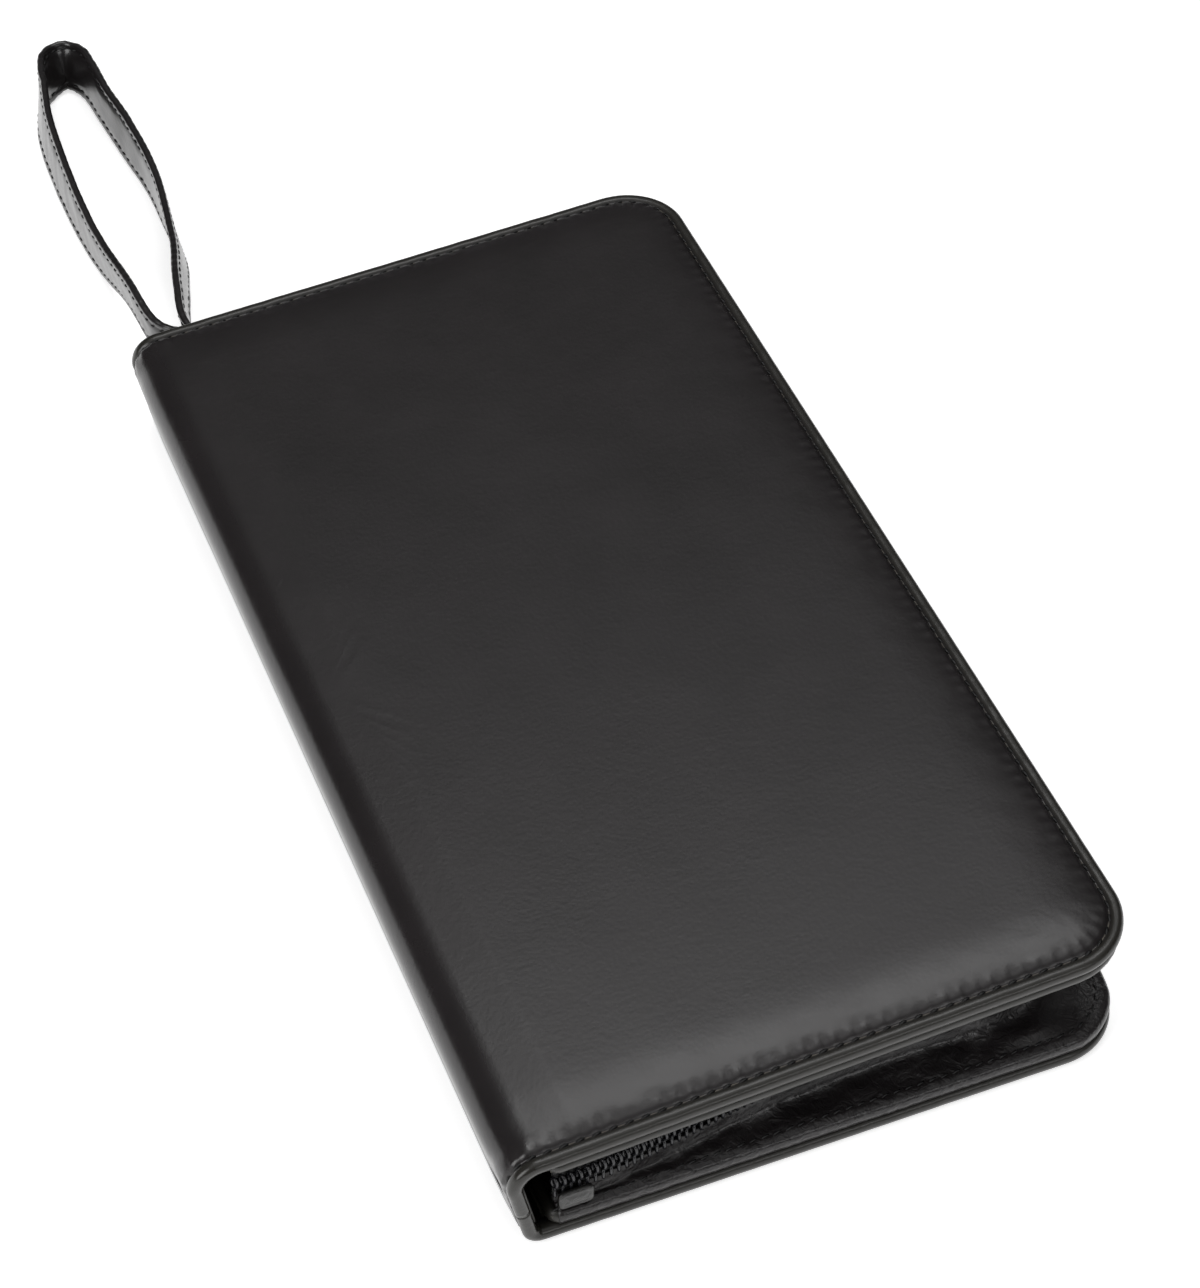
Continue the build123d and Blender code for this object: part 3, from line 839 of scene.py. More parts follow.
# ------------------------------------------------------------------ repeats along a path
@dataclass
class PathRepeat:
    """A geometry-nodes tree that sets a small piece along a path at an even spacing."""

    name: str = "set_along_path"
    sockets: dict[str, str] = field(default_factory=dict)
    tree: Optional[bpy.types.NodeTree] = None

    def make_tree(self) -> None:
        """Builds the tree, with its spacing, piece, size spread, seed and finish as named inputs."""
        tree = bpy.data.node_groups.new(self.name, "GeometryNodeTree")
        kinds = {
            "Path": "NodeSocketGeometry",
            "Spacing": "NodeSocketFloat",
            "Piece": "NodeSocketObject",
            "Size Spread": "NodeSocketFloat",
            "Seed": "NodeSocketInt",
            "Finish": "NodeSocketMaterial",
        }
        for label, kind in kinds.items():
            socket = tree.interface.new_socket(label, in_out="INPUT", socket_type=kind)
            self.sockets[label] = socket.identifier
        tree.interface.new_socket("Pieces", in_out="OUTPUT", socket_type="NodeSocketGeometry")
        given = add_node(tree, "NodeGroupInput").outputs
        curve = add_node(tree, "GeometryNodeMeshToCurve", {0: given["Path"]})
        spaced = add_node(
            tree,
            "GeometryNodeResampleCurve",
            {"Curve": curve.outputs[0], "Length": given["Spacing"]},
            mode="LENGTH",
        )
        facing = add_node(
            tree, "GeometryNodeInputNamedAttribute", {"Name": "facing"}, data_type="FLOAT_VECTOR"
        )
        tangent = add_node(tree, "GeometryNodeInputTangent")
        ahead = add_node(
            tree, "FunctionNodeAlignRotationToVector", {"Vector": tangent.outputs[0]}, axis="X"
        )
        upright = add_node(
            tree,
            "FunctionNodeAlignRotationToVector",
            {"Rotation": ahead.outputs[0], "Vector": facing.outputs[0]},
            axis="Z",
            pivot_axis="X",
        )
        least = add_node(
            tree, "ShaderNodeMath", {0: 1.0, 1: given["Size Spread"]}, operation="SUBTRACT"
        )
        most = add_node(tree, "ShaderNodeMath", {0: 1.0, 1: given["Size Spread"]}, operation="ADD")
        chance = add_node(
            tree,
            "FunctionNodeRandomValue",
            {"Min": least.outputs[0], "Max": most.outputs[0], "Seed": given["Seed"]},
            data_type="FLOAT",
        )
        shape = add_node(tree, "GeometryNodeObjectInfo", {"Object": given["Piece"]})
        placed = add_node(
            tree,
            "GeometryNodeInstanceOnPoints",
            {
                "Points": spaced.outputs[0],
                "Instance": shape.outputs["Geometry"],
                "Rotation": upright.outputs[0],
                "Scale": chance.outputs["Value"],
            },
        )
        real = add_node(tree, "GeometryNodeRealizeInstances", {0: placed.outputs[0]})
        dressed = add_node(
            tree,
            "GeometryNodeSetMaterial",
            {"Geometry": real.outputs[0], "Material": given["Finish"]},
        )
        add_node(tree, "NodeGroupOutput", {0: dressed.outputs[0]})
        self.tree = tree

    def along(
        self,
        name: str,
        paths: Sequence[tuple[np.ndarray, np.ndarray]],
        shape: bpy.types.Object,
        spacing: float,
        finish: Finishes,
        spread: float = 0.06,
        seed: int = 3,
    ) -> bpy.types.Object:
        """Sets the shape along every path and returns one plain mesh.

        Args:
            name: The new piece's name.
            paths: Points in millimetres and the way that the surface faces at each.
            shape: The small piece, its length along X and its top along Z.
            spacing: The distance from one to the next, in millimetres.
            finish: What it is made of.
            spread: How much the sizes vary.
            seed: The seed of that variation.

        Returns:
            The piece.
        """
        if self.tree is None:
            self.make_tree()
        points = np.concatenate([p for p, _ in paths])
        facing = np.concatenate([f for _, f in paths])
        edges, first = [], 0
        for path, _ in paths:
            edges += [(first + i, first + i + 1) for i in range(len(path) - 1)]
            first += len(path)
        mesh = bpy.data.meshes.new(f"{name}_path")
        mesh.from_pydata((points * MM).tolist(), edges, [])
        layer = mesh.attributes.new("facing", "FLOAT_VECTOR", "POINT")
        layer.data.foreach_set("vector", facing.astype(np.float32).ravel())
        guide = bpy.data.objects.new(f"{name}_guide", mesh)
        bpy.context.scene.collection.objects.link(guide)
        modifier = guide.modifiers.new("repeat", "NODES")
        modifier.node_group = self.tree
        values = {
            "Spacing": spacing * MM,
            "Piece": shape,
            "Size Spread": spread,
            "Seed": seed,
            "Finish": finish.value.material(),
        }
        for label, value in values.items():
            modifier[self.sockets[label]] = value
        graph = bpy.context.evaluated_depsgraph_get()
        plain = bpy.data.meshes.new_from_object(guide.evaluated_get(graph), depsgraph=graph)
        bpy.data.objects.remove(guide)
        plain.shade_smooth()
        piece = bpy.data.objects.new(name, plain)
        bpy.context.scene.collection.objects.link(piece)
        finish.put_on(piece)
        return piece


REPEAT = PathRepeat()


def small_shape(name: str, points: np.ndarray, faces: list) -> bpy.types.Object:
    """A small piece for repeating, kept out of the scene."""
    piece = make_mesh(name, points, faces, {})
    bpy.context.scene.collection.objects.unlink(piece)
    return piece


def stitch_shape(length: float, width: float, height: float, slant: float) -> bpy.types.Object:
    """One stitch of thread: a tapering grain that dips at both ends and lies at a slant.

    Args:
        length: From hole to hole.
        width: The thread's width.
        height: How far it stands proud.
        slant: Its angle to the seam, in radians.

    Returns:
        The stitch, lying along X.
    """
    stations = np.array([-0.5, -0.42, -0.2, 0.0, 0.2, 0.42, 0.5])
    swell = np.array([0.12, 0.62, 0.95, 1.0, 0.95, 0.62, 0.12])
    dip = -height * 0.9 * np.abs(stations * 2) ** 3
    sides = 6
    around = np.linspace(0, 2 * math.pi, sides, endpoint=False)
    rings = []
    for s, w, z in zip(stations, swell, dip):
        across = np.cos(around) * width / 2 * w
        up = np.sin(around) * height / 2 * w + z + height * 0.3
        along = np.full(sides, s * length)
        x = along * math.cos(slant) - across * math.sin(slant)
        y = along * math.sin(slant) + across * math.cos(slant)
        rings.append(np.stack([x, y, up], axis=-1))
    faces = grid_faces(len(stations), sides, True, False) + caps(len(stations), sides)
    return small_shape("stitch", np.concatenate(rings), faces)


def coil_turn_shape(height: float, depth: float, wire: float, lean: float) -> bpy.types.Object:
    """One turn of the zip's coil, a long flat loop that leans along the chain.

    Args:
        height: From the chain's middle to the sewn edge, along Z.
        depth: Out from the tape, along Y.
        wire: The filament's thickness.
        lean: How far the loop's two sides are apart along the chain.

    Returns:
        The turn, its hooked end at the origin's height.
    """
    steps, sides = 12, 5
    turns = np.linspace(0, 2 * math.pi, steps, endpoint=False)
    middle_z, middle_y = -height / 2, depth / 2
    centre = np.stack(
        [
            np.sin(turns) * lean / 2,
            middle_y + np.sin(turns) * (depth - wire) / 2,
            middle_z + np.cos(turns) * (height - wire) / 2,
        ],
        axis=-1,
    )
    out = np.stack([np.zeros(steps), np.sin(turns), np.cos(turns)], axis=-1)
    around = np.linspace(0, 2 * math.pi, sides, endpoint=False)
    rings = [centre + (np.cos(a) * out + np.sin(a) * np.array([1, 0, 0])) * wire / 2 for a in around]
    return small_shape("coil_turn", np.concatenate(rings), grid_faces(sides, steps, True, True))


# ------------------------------------------------------------------ sweeps and stitching
def unit(rows: np.ndarray) -> np.ndarray:
    """Rows scaled to a length of one."""
    return rows / (np.linalg.norm(rows, axis=-1, keepdims=True) + TINY)


def sweep(
    name: str,
    centre: np.ndarray,
    across: np.ndarray,
    up: np.ndarray,
    section: np.ndarray,
    closed: bool,
) -> bpy.types.Object:
    """Sweeps a closed section along a line.

    Args:
        name: The piece's name.
        centre: The line's points, in millimetres.
        across: The section's first axis at each point.
        up: Its second axis.
        section: Its outline, either one for the whole line or one for each point.
        closed: Whether the line joins its own start.

    Returns:
        The piece, with its ends capped where it is open.
    """
    section = np.broadcast_to(section, (len(centre),) + section.shape[-2:])
    rows = (
        centre[:, None, :]
        + section[..., :1] * across[:, None, :]
        + section[..., 1:] * up[:, None, :]
    )
    count = section.shape[1]
    faces = grid_faces(len(centre), count, True, closed)
    if not closed:
        faces += caps(len(centre), count)
    return make_mesh(name, rows.reshape(-1, 3), faces, {})


@dataclass
class Seam:
    """A row of stitches in one thread."""

    pitch: float = 3.1
    length: float = 2.5
    width: float = 0.62
    height: float = 0.5
    slant: float = math.radians(14)
    shape: Optional[bpy.types.Object] = None

    def sew(self, name: str, paths: Sequence[tuple[np.ndarray, np.ndarray]]) -> bpy.types.Object:
        """Sews along the paths.

        Args:
            name: The seam's name.
            paths: Points in millimetres and the way that the leather faces at each.

        Returns:
            All the stitches as one mesh.
        """
        if self.shape is None:
            self.shape = stitch_shape(self.length, self.width, self.height, self.slant)
        return REPEAT.along(name, paths, self.shape, self.pitch, Finishes.THREAD)


COVER_SEAM = Seam()
FINE_SEAM = Seam(pitch=2.4, length=1.8, width=0.42, height=0.36)
STRAP_SEAM = Seam(pitch=2.7, length=2.1, width=0.5, height=0.4, slant=math.radians(9))


def local_box(node: str, fold: Fold) -> tuple[np.ndarray, np.ndarray]:
    """A flat node's lowest and highest p, y and h, measured on its own cover.

    Args:
        node: The CAD node.
        fold: The leather run of its cover.

    Returns:
        The two corners.
    """
    spots = np.array([v.co for v in frame["nodes"][node].data.vertices]) / MM
    sign = fold.side.value
    x, z = spots[:, 0] - fold.sizes.hinge_x, spots[:, 2] - fold.centre_z
    tilt = fold.tilt
    p = x * math.cos(tilt) + z * sign * math.sin(tilt)
    h = -x * math.sin(tilt) + z * sign * math.cos(tilt) - fold.radius
    places = np.stack([p, spots[:, 1], h], axis=-1)
    return places.min(axis=0), places.max(axis=0)


def sew_ring(
    seam: Seam, name: str, fold: Fold, ring: np.ndarray, height: float, above: float
) -> bpy.types.Object:
    """Sews a seam along an outline on a leather run.

    Args:
        seam: The kind of seam.
        name: The piece's name.
        fold: The leather run.
        ring: The outline, in p and y.
        height: How high the stitches lie.
        above: A height on the side that their tops face.

    Returns:
        The seam.
    """
    on, over = (fold.place(ring[:, 0], ring[:, 1], h) for h in (height, above))
    return seam.sew(name, [(on, over - on)])


def shut(ring: np.ndarray) -> np.ndarray:
    """A closed outline with its first point repeated at its end."""
    return np.concatenate([ring, ring[:1]])


# ------------------------------------------------------------------ the covers
@dataclass
class Cover:
    """One leather cover: its wrapped outer panel, its lining panel and their seams."""

    sizes: CaseSizes
    side: Side
    seam_inset: float = 2.7
    groove: float = 0.6
    rim_drop: float = 0.55
    crown: float = 0.85
    pucker: float = 0.13
    wall: float = 0.8
    thread_lift: float = 0.05
    lining_seam_inset: float = 2.2
    lining_ridge: float = 0.2
    lining_inner_radius: float = 3.0
    rims_apart: float = 0.5

    def __post_init__(self) -> None:
        """Works out the cover's leather run and outline."""
        self.fold = Fold(self.sizes, self.side)
        self.plan = CoverPlan(
            self.fold.spine_middle,
            self.sizes.panel_width,
            self.sizes.half_length,
            self.sizes.corner_radius,
        )
        self.seed = 11 if self.side is Side.FRONT else 23

    def rise(self) -> float:
        """How far the padding lifts the middle: not at all on the cover that the case lies on."""
        return self.crown if self.side is Side.FRONT else 0.0

    def outer_profile(self) -> np.ndarray:
        """Inset and height of the outer leather from under its rim, over the edge, to the middle."""
        panel, drop = self.sizes.outer_panel, self.rim_drop
        waist = (panel - drop) / 2
        edge = [
            (3.4, -panel + 0.06),
            (1.6, -panel + 0.02),
            (0.75, -panel + 0.12),
            (0.25, -panel + 0.5),
            (0.03, -drop - waist * 1.25),
            (0.0, -drop - waist),
            (0.05, -drop - waist * 0.7),
            (0.28, -drop - waist * 0.33),
            (0.68, -drop - waist * 0.08),
            (1.15, -drop),
            (1.7, -drop - 0.02),
            (2.15, -drop - 0.12),
            (2.45, -drop - self.groove * 0.7),
            (self.seam_inset, -drop - self.groove),
            (2.98, -drop - self.groove * 0.6),
            (3.4, -drop + 0.12),
        ]
        rise = [(3.9, 0.21), (4.6, 0.34), (5.5, 0.47), (6.7, 0.61), (8.2, 0.75), (10, 0.87), (12.5, 0.96)]
        edge += [(d, -drop + (drop + self.rise()) * share) for d, share in rise]
        far = np.concatenate([[15.5, 19.0], np.linspace(23, self.sizes.half_length, 26)])
        return np.array(edge + [(d, self.rise()) for d in far])

    def outer_relief(self, p: np.ndarray, y: np.ndarray, along: np.ndarray, inset: float) -> np.ndarray:
        """Puckers at each stitch, slack between them and the padding's slow waves."""
        calm = np.clip((p - self.fold.spine_middle) / 7.0, 0, 1)
        flat = 1 - np.clip((p + 1.0) / 9.0, 0, 1)
        padded = flat * min(max((inset - 3.4) / 5.0, 0.0), 1.0)
        uneven = 1 + 0.6 * beat(along, 17.0, self.seed)
        each_stitch = np.cos(2 * math.pi * along / COVER_SEAM.pitch)
        stitch = -self.pucker * nearness(inset, 3.9, 1.1) * each_stitch * uneven
        gathers = 0.075 * nearness(inset, 6.5, 4.0) * beat(along, 8.5, self.seed + 1, inset * 2.2)
        rim = 0.05 * nearness(inset, 1.2, 1.2) * beat(along, 6.0, self.seed + 2)
        padding = 0.05 * waves(p, y, 60.0, self.seed + 3) + 0.012 * waves(p, y, 15.0, self.seed + 4)
        cushion = padding * np.clip((inset - 3.5) / 16.0, 0, 1)
        if self.side is Side.BACK:
            stitch, gathers, cushion = (np.minimum(part, 0) for part in (stitch, gathers, cushion))
        return calm * (stitch + gathers + rim + cushion) - self.rise() * padded

    def joint(self) -> tuple[str, str, Vector, Vector]:
        """The two bodies on either side of the outer leather's crease, and where it starts and ends."""
        flat_end, spine_end = self.fold.place(np.array([0.0, -self.fold.arc]), 0.0, 0.0) * MM
        if self.side is Side.FRONT:
            return "spine", "front_cover", Vector(spine_end), Vector(flat_end)
        return "back_cover", "spine", Vector(flat_end), Vector(spine_end)

    def build_outer(self) -> list[bpy.types.Object]:
        """The outer leather, half the spine with it, and its seam.

        Returns:
            The two pieces.
        """
        name = self.side.name.lower()
        leather = RingMesh(
            f"{name}_leather",
            self.plan,
            self.outer_profile(),
            self.fold.place,
            self.outer_relief,
            wall=self.wall,
            hollow=True,
            seam_inset=self.seam_inset,
        ).build()
        Finishes.OUTER.put_on(leather)
        height = self.thread_lift - self.rim_drop - self.groove
        ring = self.plan.ring(self.seam_inset)
        seam = sew_ring(COVER_SEAM, f"{name}_seam", self.fold, ring, height, height + 1)
        for piece in (leather, seam):
            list(self.joint())
            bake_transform(piece)
        own = f"{self.side.body}_leather"
        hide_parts(own, "spine_leather")
        return [leather, seam]

    def lining_profile(self) -> np.ndarray:
        """Inset and height of the lining panel from under its rim to the middle of its face."""
        start, face = -self.sizes.outer_panel, -self.sizes.cover
        rim = [(2.6, start), (0.9, start - 0.05), (0.35, start - 0.3), (0.05, start - 0.8)]
        rim += [(0.0, start - 1.35), (0.1, start - 2.0), (0.4, face + 0.55), (0.8, face + 0.2)]
        rim += [(1.3, face + 0.05), (1.8, face + 0.12), (2.2, face + 0.32), (2.6, face + 0.12)]
        return np.array(rim + [(3.2, face + 0.02), (4.5, face), (7, face), (12, face)])

    def lining_plan(self) -> SheetPlan:
        """The lining panel's outline."""
        low, high = local_box(f"{self.side.name.lower()}_lining", self.fold)
        outer_radius = self.sizes.corner_radius - self.rims_apart
        return SheetPlan(
            low[0], high[0], low[1], high[1], self.lining_inner_radius, outer_radius, step=1.0
        )

    def build_lining(self) -> list[bpy.types.Object]:
        """The lining panel and the fine seam round its face."""

        def relief(p: np.ndarray, y: np.ndarray, along: np.ndarray, inset: float) -> np.ndarray:
            """Small puckers at the seam."""
            return 0.10 * nearness(inset, 1.6, 1.6) * beat(along, 5.0, self.seed)

        name = self.side.name.lower()
        plan = self.lining_plan()
        panel = RingMesh(
            f"{name}_lining_panel",
            plan,
            self.lining_profile(),
            self.fold.place,
            relief,
            capped=True,
            seam_inset=self.lining_seam_inset,
        ).build()
        Finishes.LINING.put_on(panel)
        ring = shut(plan.ring(self.lining_seam_inset))
        height = self.lining_ridge - self.sizes.cover
        seam = sew_ring(FINE_SEAM, f"{name}_lining_seam", self.fold, ring, height, height - 1)
        for piece in (panel, seam):
            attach(piece, self.side.body)
        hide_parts(f"{name}_lining")
        return [panel, seam]

    def build(self) -> list[bpy.types.Object]:
        """Both panels and their seams."""
        return self.build_outer() + self.build_lining()


# ------------------------------------------------------------------ the zip
@dataclass
class ZipRun:
    """The line that the chain follows round three edges, and the plane it lies in."""

    sizes: CaseSizes
    near_recess: float = 4.0
    near_curve: float = 62.0
    step: float = 1.0
    arc_count: int = 29
    passes: int = 12

    def middle(self, outset: float = 0.0) -> tuple[np.ndarray, np.ndarray]:
        """The tape's middle line, moved outwards.

        Args:
            outset: How far out it is moved.

        Returns:
            The line's points in plan and the way that is outwards at each.
        """
        s = self.sizes
        x_start = s.hinge_x + s.zip_setback
        x_turn = s.fore_edge - s.zip_corner_recess - s.zip_corner_radius
        y_turn = s.half_length - s.zip_corner_recess - s.zip_corner_radius
        x = np.linspace(x_start, x_turn, int((x_turn - x_start) / self.step))
        eased = ease((x - x_start) / self.near_curve)
        near_y = -s.half_length + self.near_recess + (s.zip_corner_recess - self.near_recess) * eased
        straight = (x - x_start) / (x_turn - x_start)
        far_y = s.half_length - s.zip_recess - (s.zip_corner_recess - s.zip_recess) * straight
        quarter = math.pi / 2
        turn_near = arc_points((x_turn, -y_turn), s.zip_corner_radius, -quarter, quarter, self.arc_count)
        turn_far = arc_points((x_turn, y_turn), s.zip_corner_radius, 0, quarter, self.arc_count)
        fore = line(turn_near[-1], turn_far[0], int(2 * y_turn / self.step))
        near = np.stack([x, near_y], axis=-1)
        far = np.stack([x, far_y], axis=-1)[::-1]
        points = runs(near, turn_near, fore, turn_far, far)
        ahead = unit(np.gradient(points, axis=0))
        outward = np.stack([ahead[:, 1], -ahead[:, 0]], axis=-1)
        return points + outset * outward, outward

    def chain_z(self, x: np.ndarray) -> np.ndarray:
        """The height of the chain's middle."""
        s = self.sizes
        return s.thickness / 2 + (x - s.hinge_x) * math.tan(s.wedge / 2)

    def face_z(self, x: np.ndarray, side: Side) -> np.ndarray:
        """The height of a cover's lining face."""
        s = self.sizes
        if side is Side.BACK:
            return np.full(np.shape(x), s.cover)
        return s.thickness + (x - s.hinge_x) * math.tan(s.wedge) - s.cover / math.cos(s.wedge)

    def rim_distance(self, points: np.ndarray, outward: np.ndarray, inset: float) -> np.ndarray:
        """How far out each point is from the line at an inset inside the cover's edge."""
        s = self.sizes
        centre_x = s.fore_edge - s.corner_radius
        reach = np.zeros(len(points))
        for _ in range(self.passes):
            spot = points + outward * reach[:, None]
            beyond_x = np.maximum(spot[:, 0] - centre_x, 0)
            beyond_y = np.maximum(np.abs(spot[:, 1]) - (s.half_length - s.corner_radius), 0)
            inner_y = np.minimum(s.half_length - np.abs(spot[:, 1]), s.corner_radius)
            past_corner = s.corner_radius - np.hypot(beyond_x, beyond_y)
            depth = np.where((beyond_x > 0) | (beyond_y > 0), past_corner, inner_y)
            reach += depth - inset
        return reach


@dataclass
class ZipHalf:
    """One half of the zip: its coil, its tape and the leather gusset sewn to its cover."""

    run: ZipRun
    side: Side
    turned_over: tuple = ((1.3, 0.05), (0.8, 0.3), (0.45, 0.9), (0.35, 1.7), (0.5, 2.6))
    tape_gap: float = 0.98
    half_tape: float = 0.22
    tape_shares: tuple = (0.0, 0.04, 0.3, 0.6, 0.9, 1.04)
    coil_outset: float = 0.25
    hook_overlap: float = 0.35
    coil_lean: float = 0.55
    coil_pitch: float = 1.55
    coil_height: float = 3.3
    coil_depth: float = 2.0
    wire: float = 0.72
    rim_inset: float = 1.9
    foot_outset: float = 0.35
    off_lining: float = 0.12
    short_of_chain: float = 3.15
    leather: float = 0.5
    bend: tuple = (
        ((0.0, 0.97), (0.03, 1.0), (0.08, 0.98), (0.12, 0.84), (0.15, 0.62), (0.19, 0.4))
        + ((0.25, 0.24), (0.33, 0.15), (0.43, 0.105), (0.54, 0.08), (0.65, 0.06), (0.76, 0.05))
        + ((0.86, 0.04), (0.92, 0.02), (0.97, 0.035), (1.0, 0.02))
    )

    def coil(self) -> bpy.types.Object:
        """The coil, one turn after another along the chain."""
        plan, _ = self.run.middle(self.coil_outset)
        sign = self.side.value
        z = self.run.chain_z(plan[:, 0]) - sign * self.hook_overlap
        path = np.column_stack([plan, z])
        if self.side is Side.BACK:
            path = path[::-1]
        facing = np.tile([0.0, 0.0, -float(sign)], (len(path), 1))
        turn = coil_turn_shape(self.coil_height, self.coil_depth, self.wire, self.coil_lean)
        name = f"zipper_coil_{self.side.zip_half}_turns"
        coil = REPEAT.along(name, [(path, facing)], turn, self.coil_pitch, Finishes.COIL, 0.02)
        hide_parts(f"zipper_coil_{self.side.zip_half}")
        return coil

    def tape(self) -> bpy.types.Object:
        """The woven tape, from the chain's middle to the cover."""
        plan, outward = self.run.middle()
        sign = self.side.value
        chain = self.run.chain_z(plan[:, 0])
        face = self.run.face_z(plan[:, 0], self.side)
        height = np.abs(face - chain)
        half = self.half_tape
        sides = [(half, s) for s in self.tape_shares] + [(-half, s) for s in self.tape_shares[::-1]]
        gap = self.tape_gap
        section = np.array([[(o, sign * (gap + s * (h - gap))) for o, s in sides] for h in height])
        centre = np.column_stack([plan, chain])
        across = np.column_stack([outward, np.zeros(len(plan))])
        up = np.tile([0.0, 0.0, 1.0], (len(plan), 1))
        tape = sweep(f"zipper_tape_{self.side.zip_half}_web", centre, across, up, section, False)
        Finishes.TAPE.put_on(tape)
        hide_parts(f"zipper_tape_{self.side.zip_half}")
        return tape

    def gusset(self) -> list[bpy.types.Object]:
        """The gathered leather between the tape and the cover's rim, with its seam."""
        plan, outward = self.run.middle()
        reach = self.run.rim_distance(plan, outward, self.rim_inset)
        sign = self.side.value
        chain = self.run.chain_z(plan[:, 0])
        face = self.run.face_z(plan[:, 0], self.side)
        along = run_lengths(plan)
        past_y = np.abs(plan[:, 1]) - self.run.sizes.half_length + 55
        corner = np.clip((plan[:, 0] - 20) / 20, 0, 1) * np.clip(past_y / 20, 0, 1)
        seed = 40 + sign
        room = np.abs(face - chain) - self.short_of_chain
        rows = []
        for out_share, up_share in self.bend:
            middle = math.sin(math.pi * min(max(out_share, 0.02), 0.98)) ** 0.7
            pleat = (0.2 + 0.5 * corner) * beat(along, 4.2, seed, out_share * 5)
            fold_line = (0.28 + 0.25 * corner) * beat(along * 0.6, 9.0, seed + 3, out_share * 9)
            bulge = middle * (pleat + fold_line)
            out = self.foot_outset + (reach - self.foot_outset) * out_share + 0.5 * bulge
            spot = plan + outward * out[:, None]
            base = self.run.face_z(spot[:, 0], self.side)
            z = base - sign * (room * up_share + self.off_lining + np.maximum(bulge + 0.3 * middle, 0.0))
            rows.append(np.column_stack([spot, z]))
        ripple = np.abs(beat(along, 3.6, seed + 5))
        for inset, drop in self.turned_over if self.side is Side.BACK else ():
            out = self.run.rim_distance(plan, outward, inset) + 0.16 * ripple
            spot = plan + outward * out[:, None]
            rows.append(np.column_stack([spot, face + self.off_lining + 0.1 * ripple - drop]))
        grid = np.array(rows)
        normal = unit(np.cross(np.gradient(grid, axis=0), np.gradient(grid, axis=1))) * -sign
        shell = np.concatenate([grid, (grid - normal * self.leather)[::-1]])
        count = grid.shape[1]
        total = len(shell)
        faces = grid_faces(total, count, False, True)
        faces += end_faces(total, count)
        name = f"zipper_gusset_{self.side.zip_half}"
        leather = make_mesh(f"{name}_leather", shell.reshape(-1, 3), faces, {})
        Finishes.GUSSET.put_on(leather)
        seam_row = len(self.bend) - 3
        seam = FINE_SEAM.sew(f"{name}_seam", [(grid[seam_row] + normal[seam_row] * 0.1, normal[seam_row])])
        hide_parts(name)
        return [leather, seam]

    def build(self) -> list[bpy.types.Object]:
        """The coil, the tape, the gusset and its seam, riding on this half's cover."""
        pieces = [self.coil(), self.tape()] + self.gusset()
        for piece in pieces:
            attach(piece, self.side.body)
        return pieces


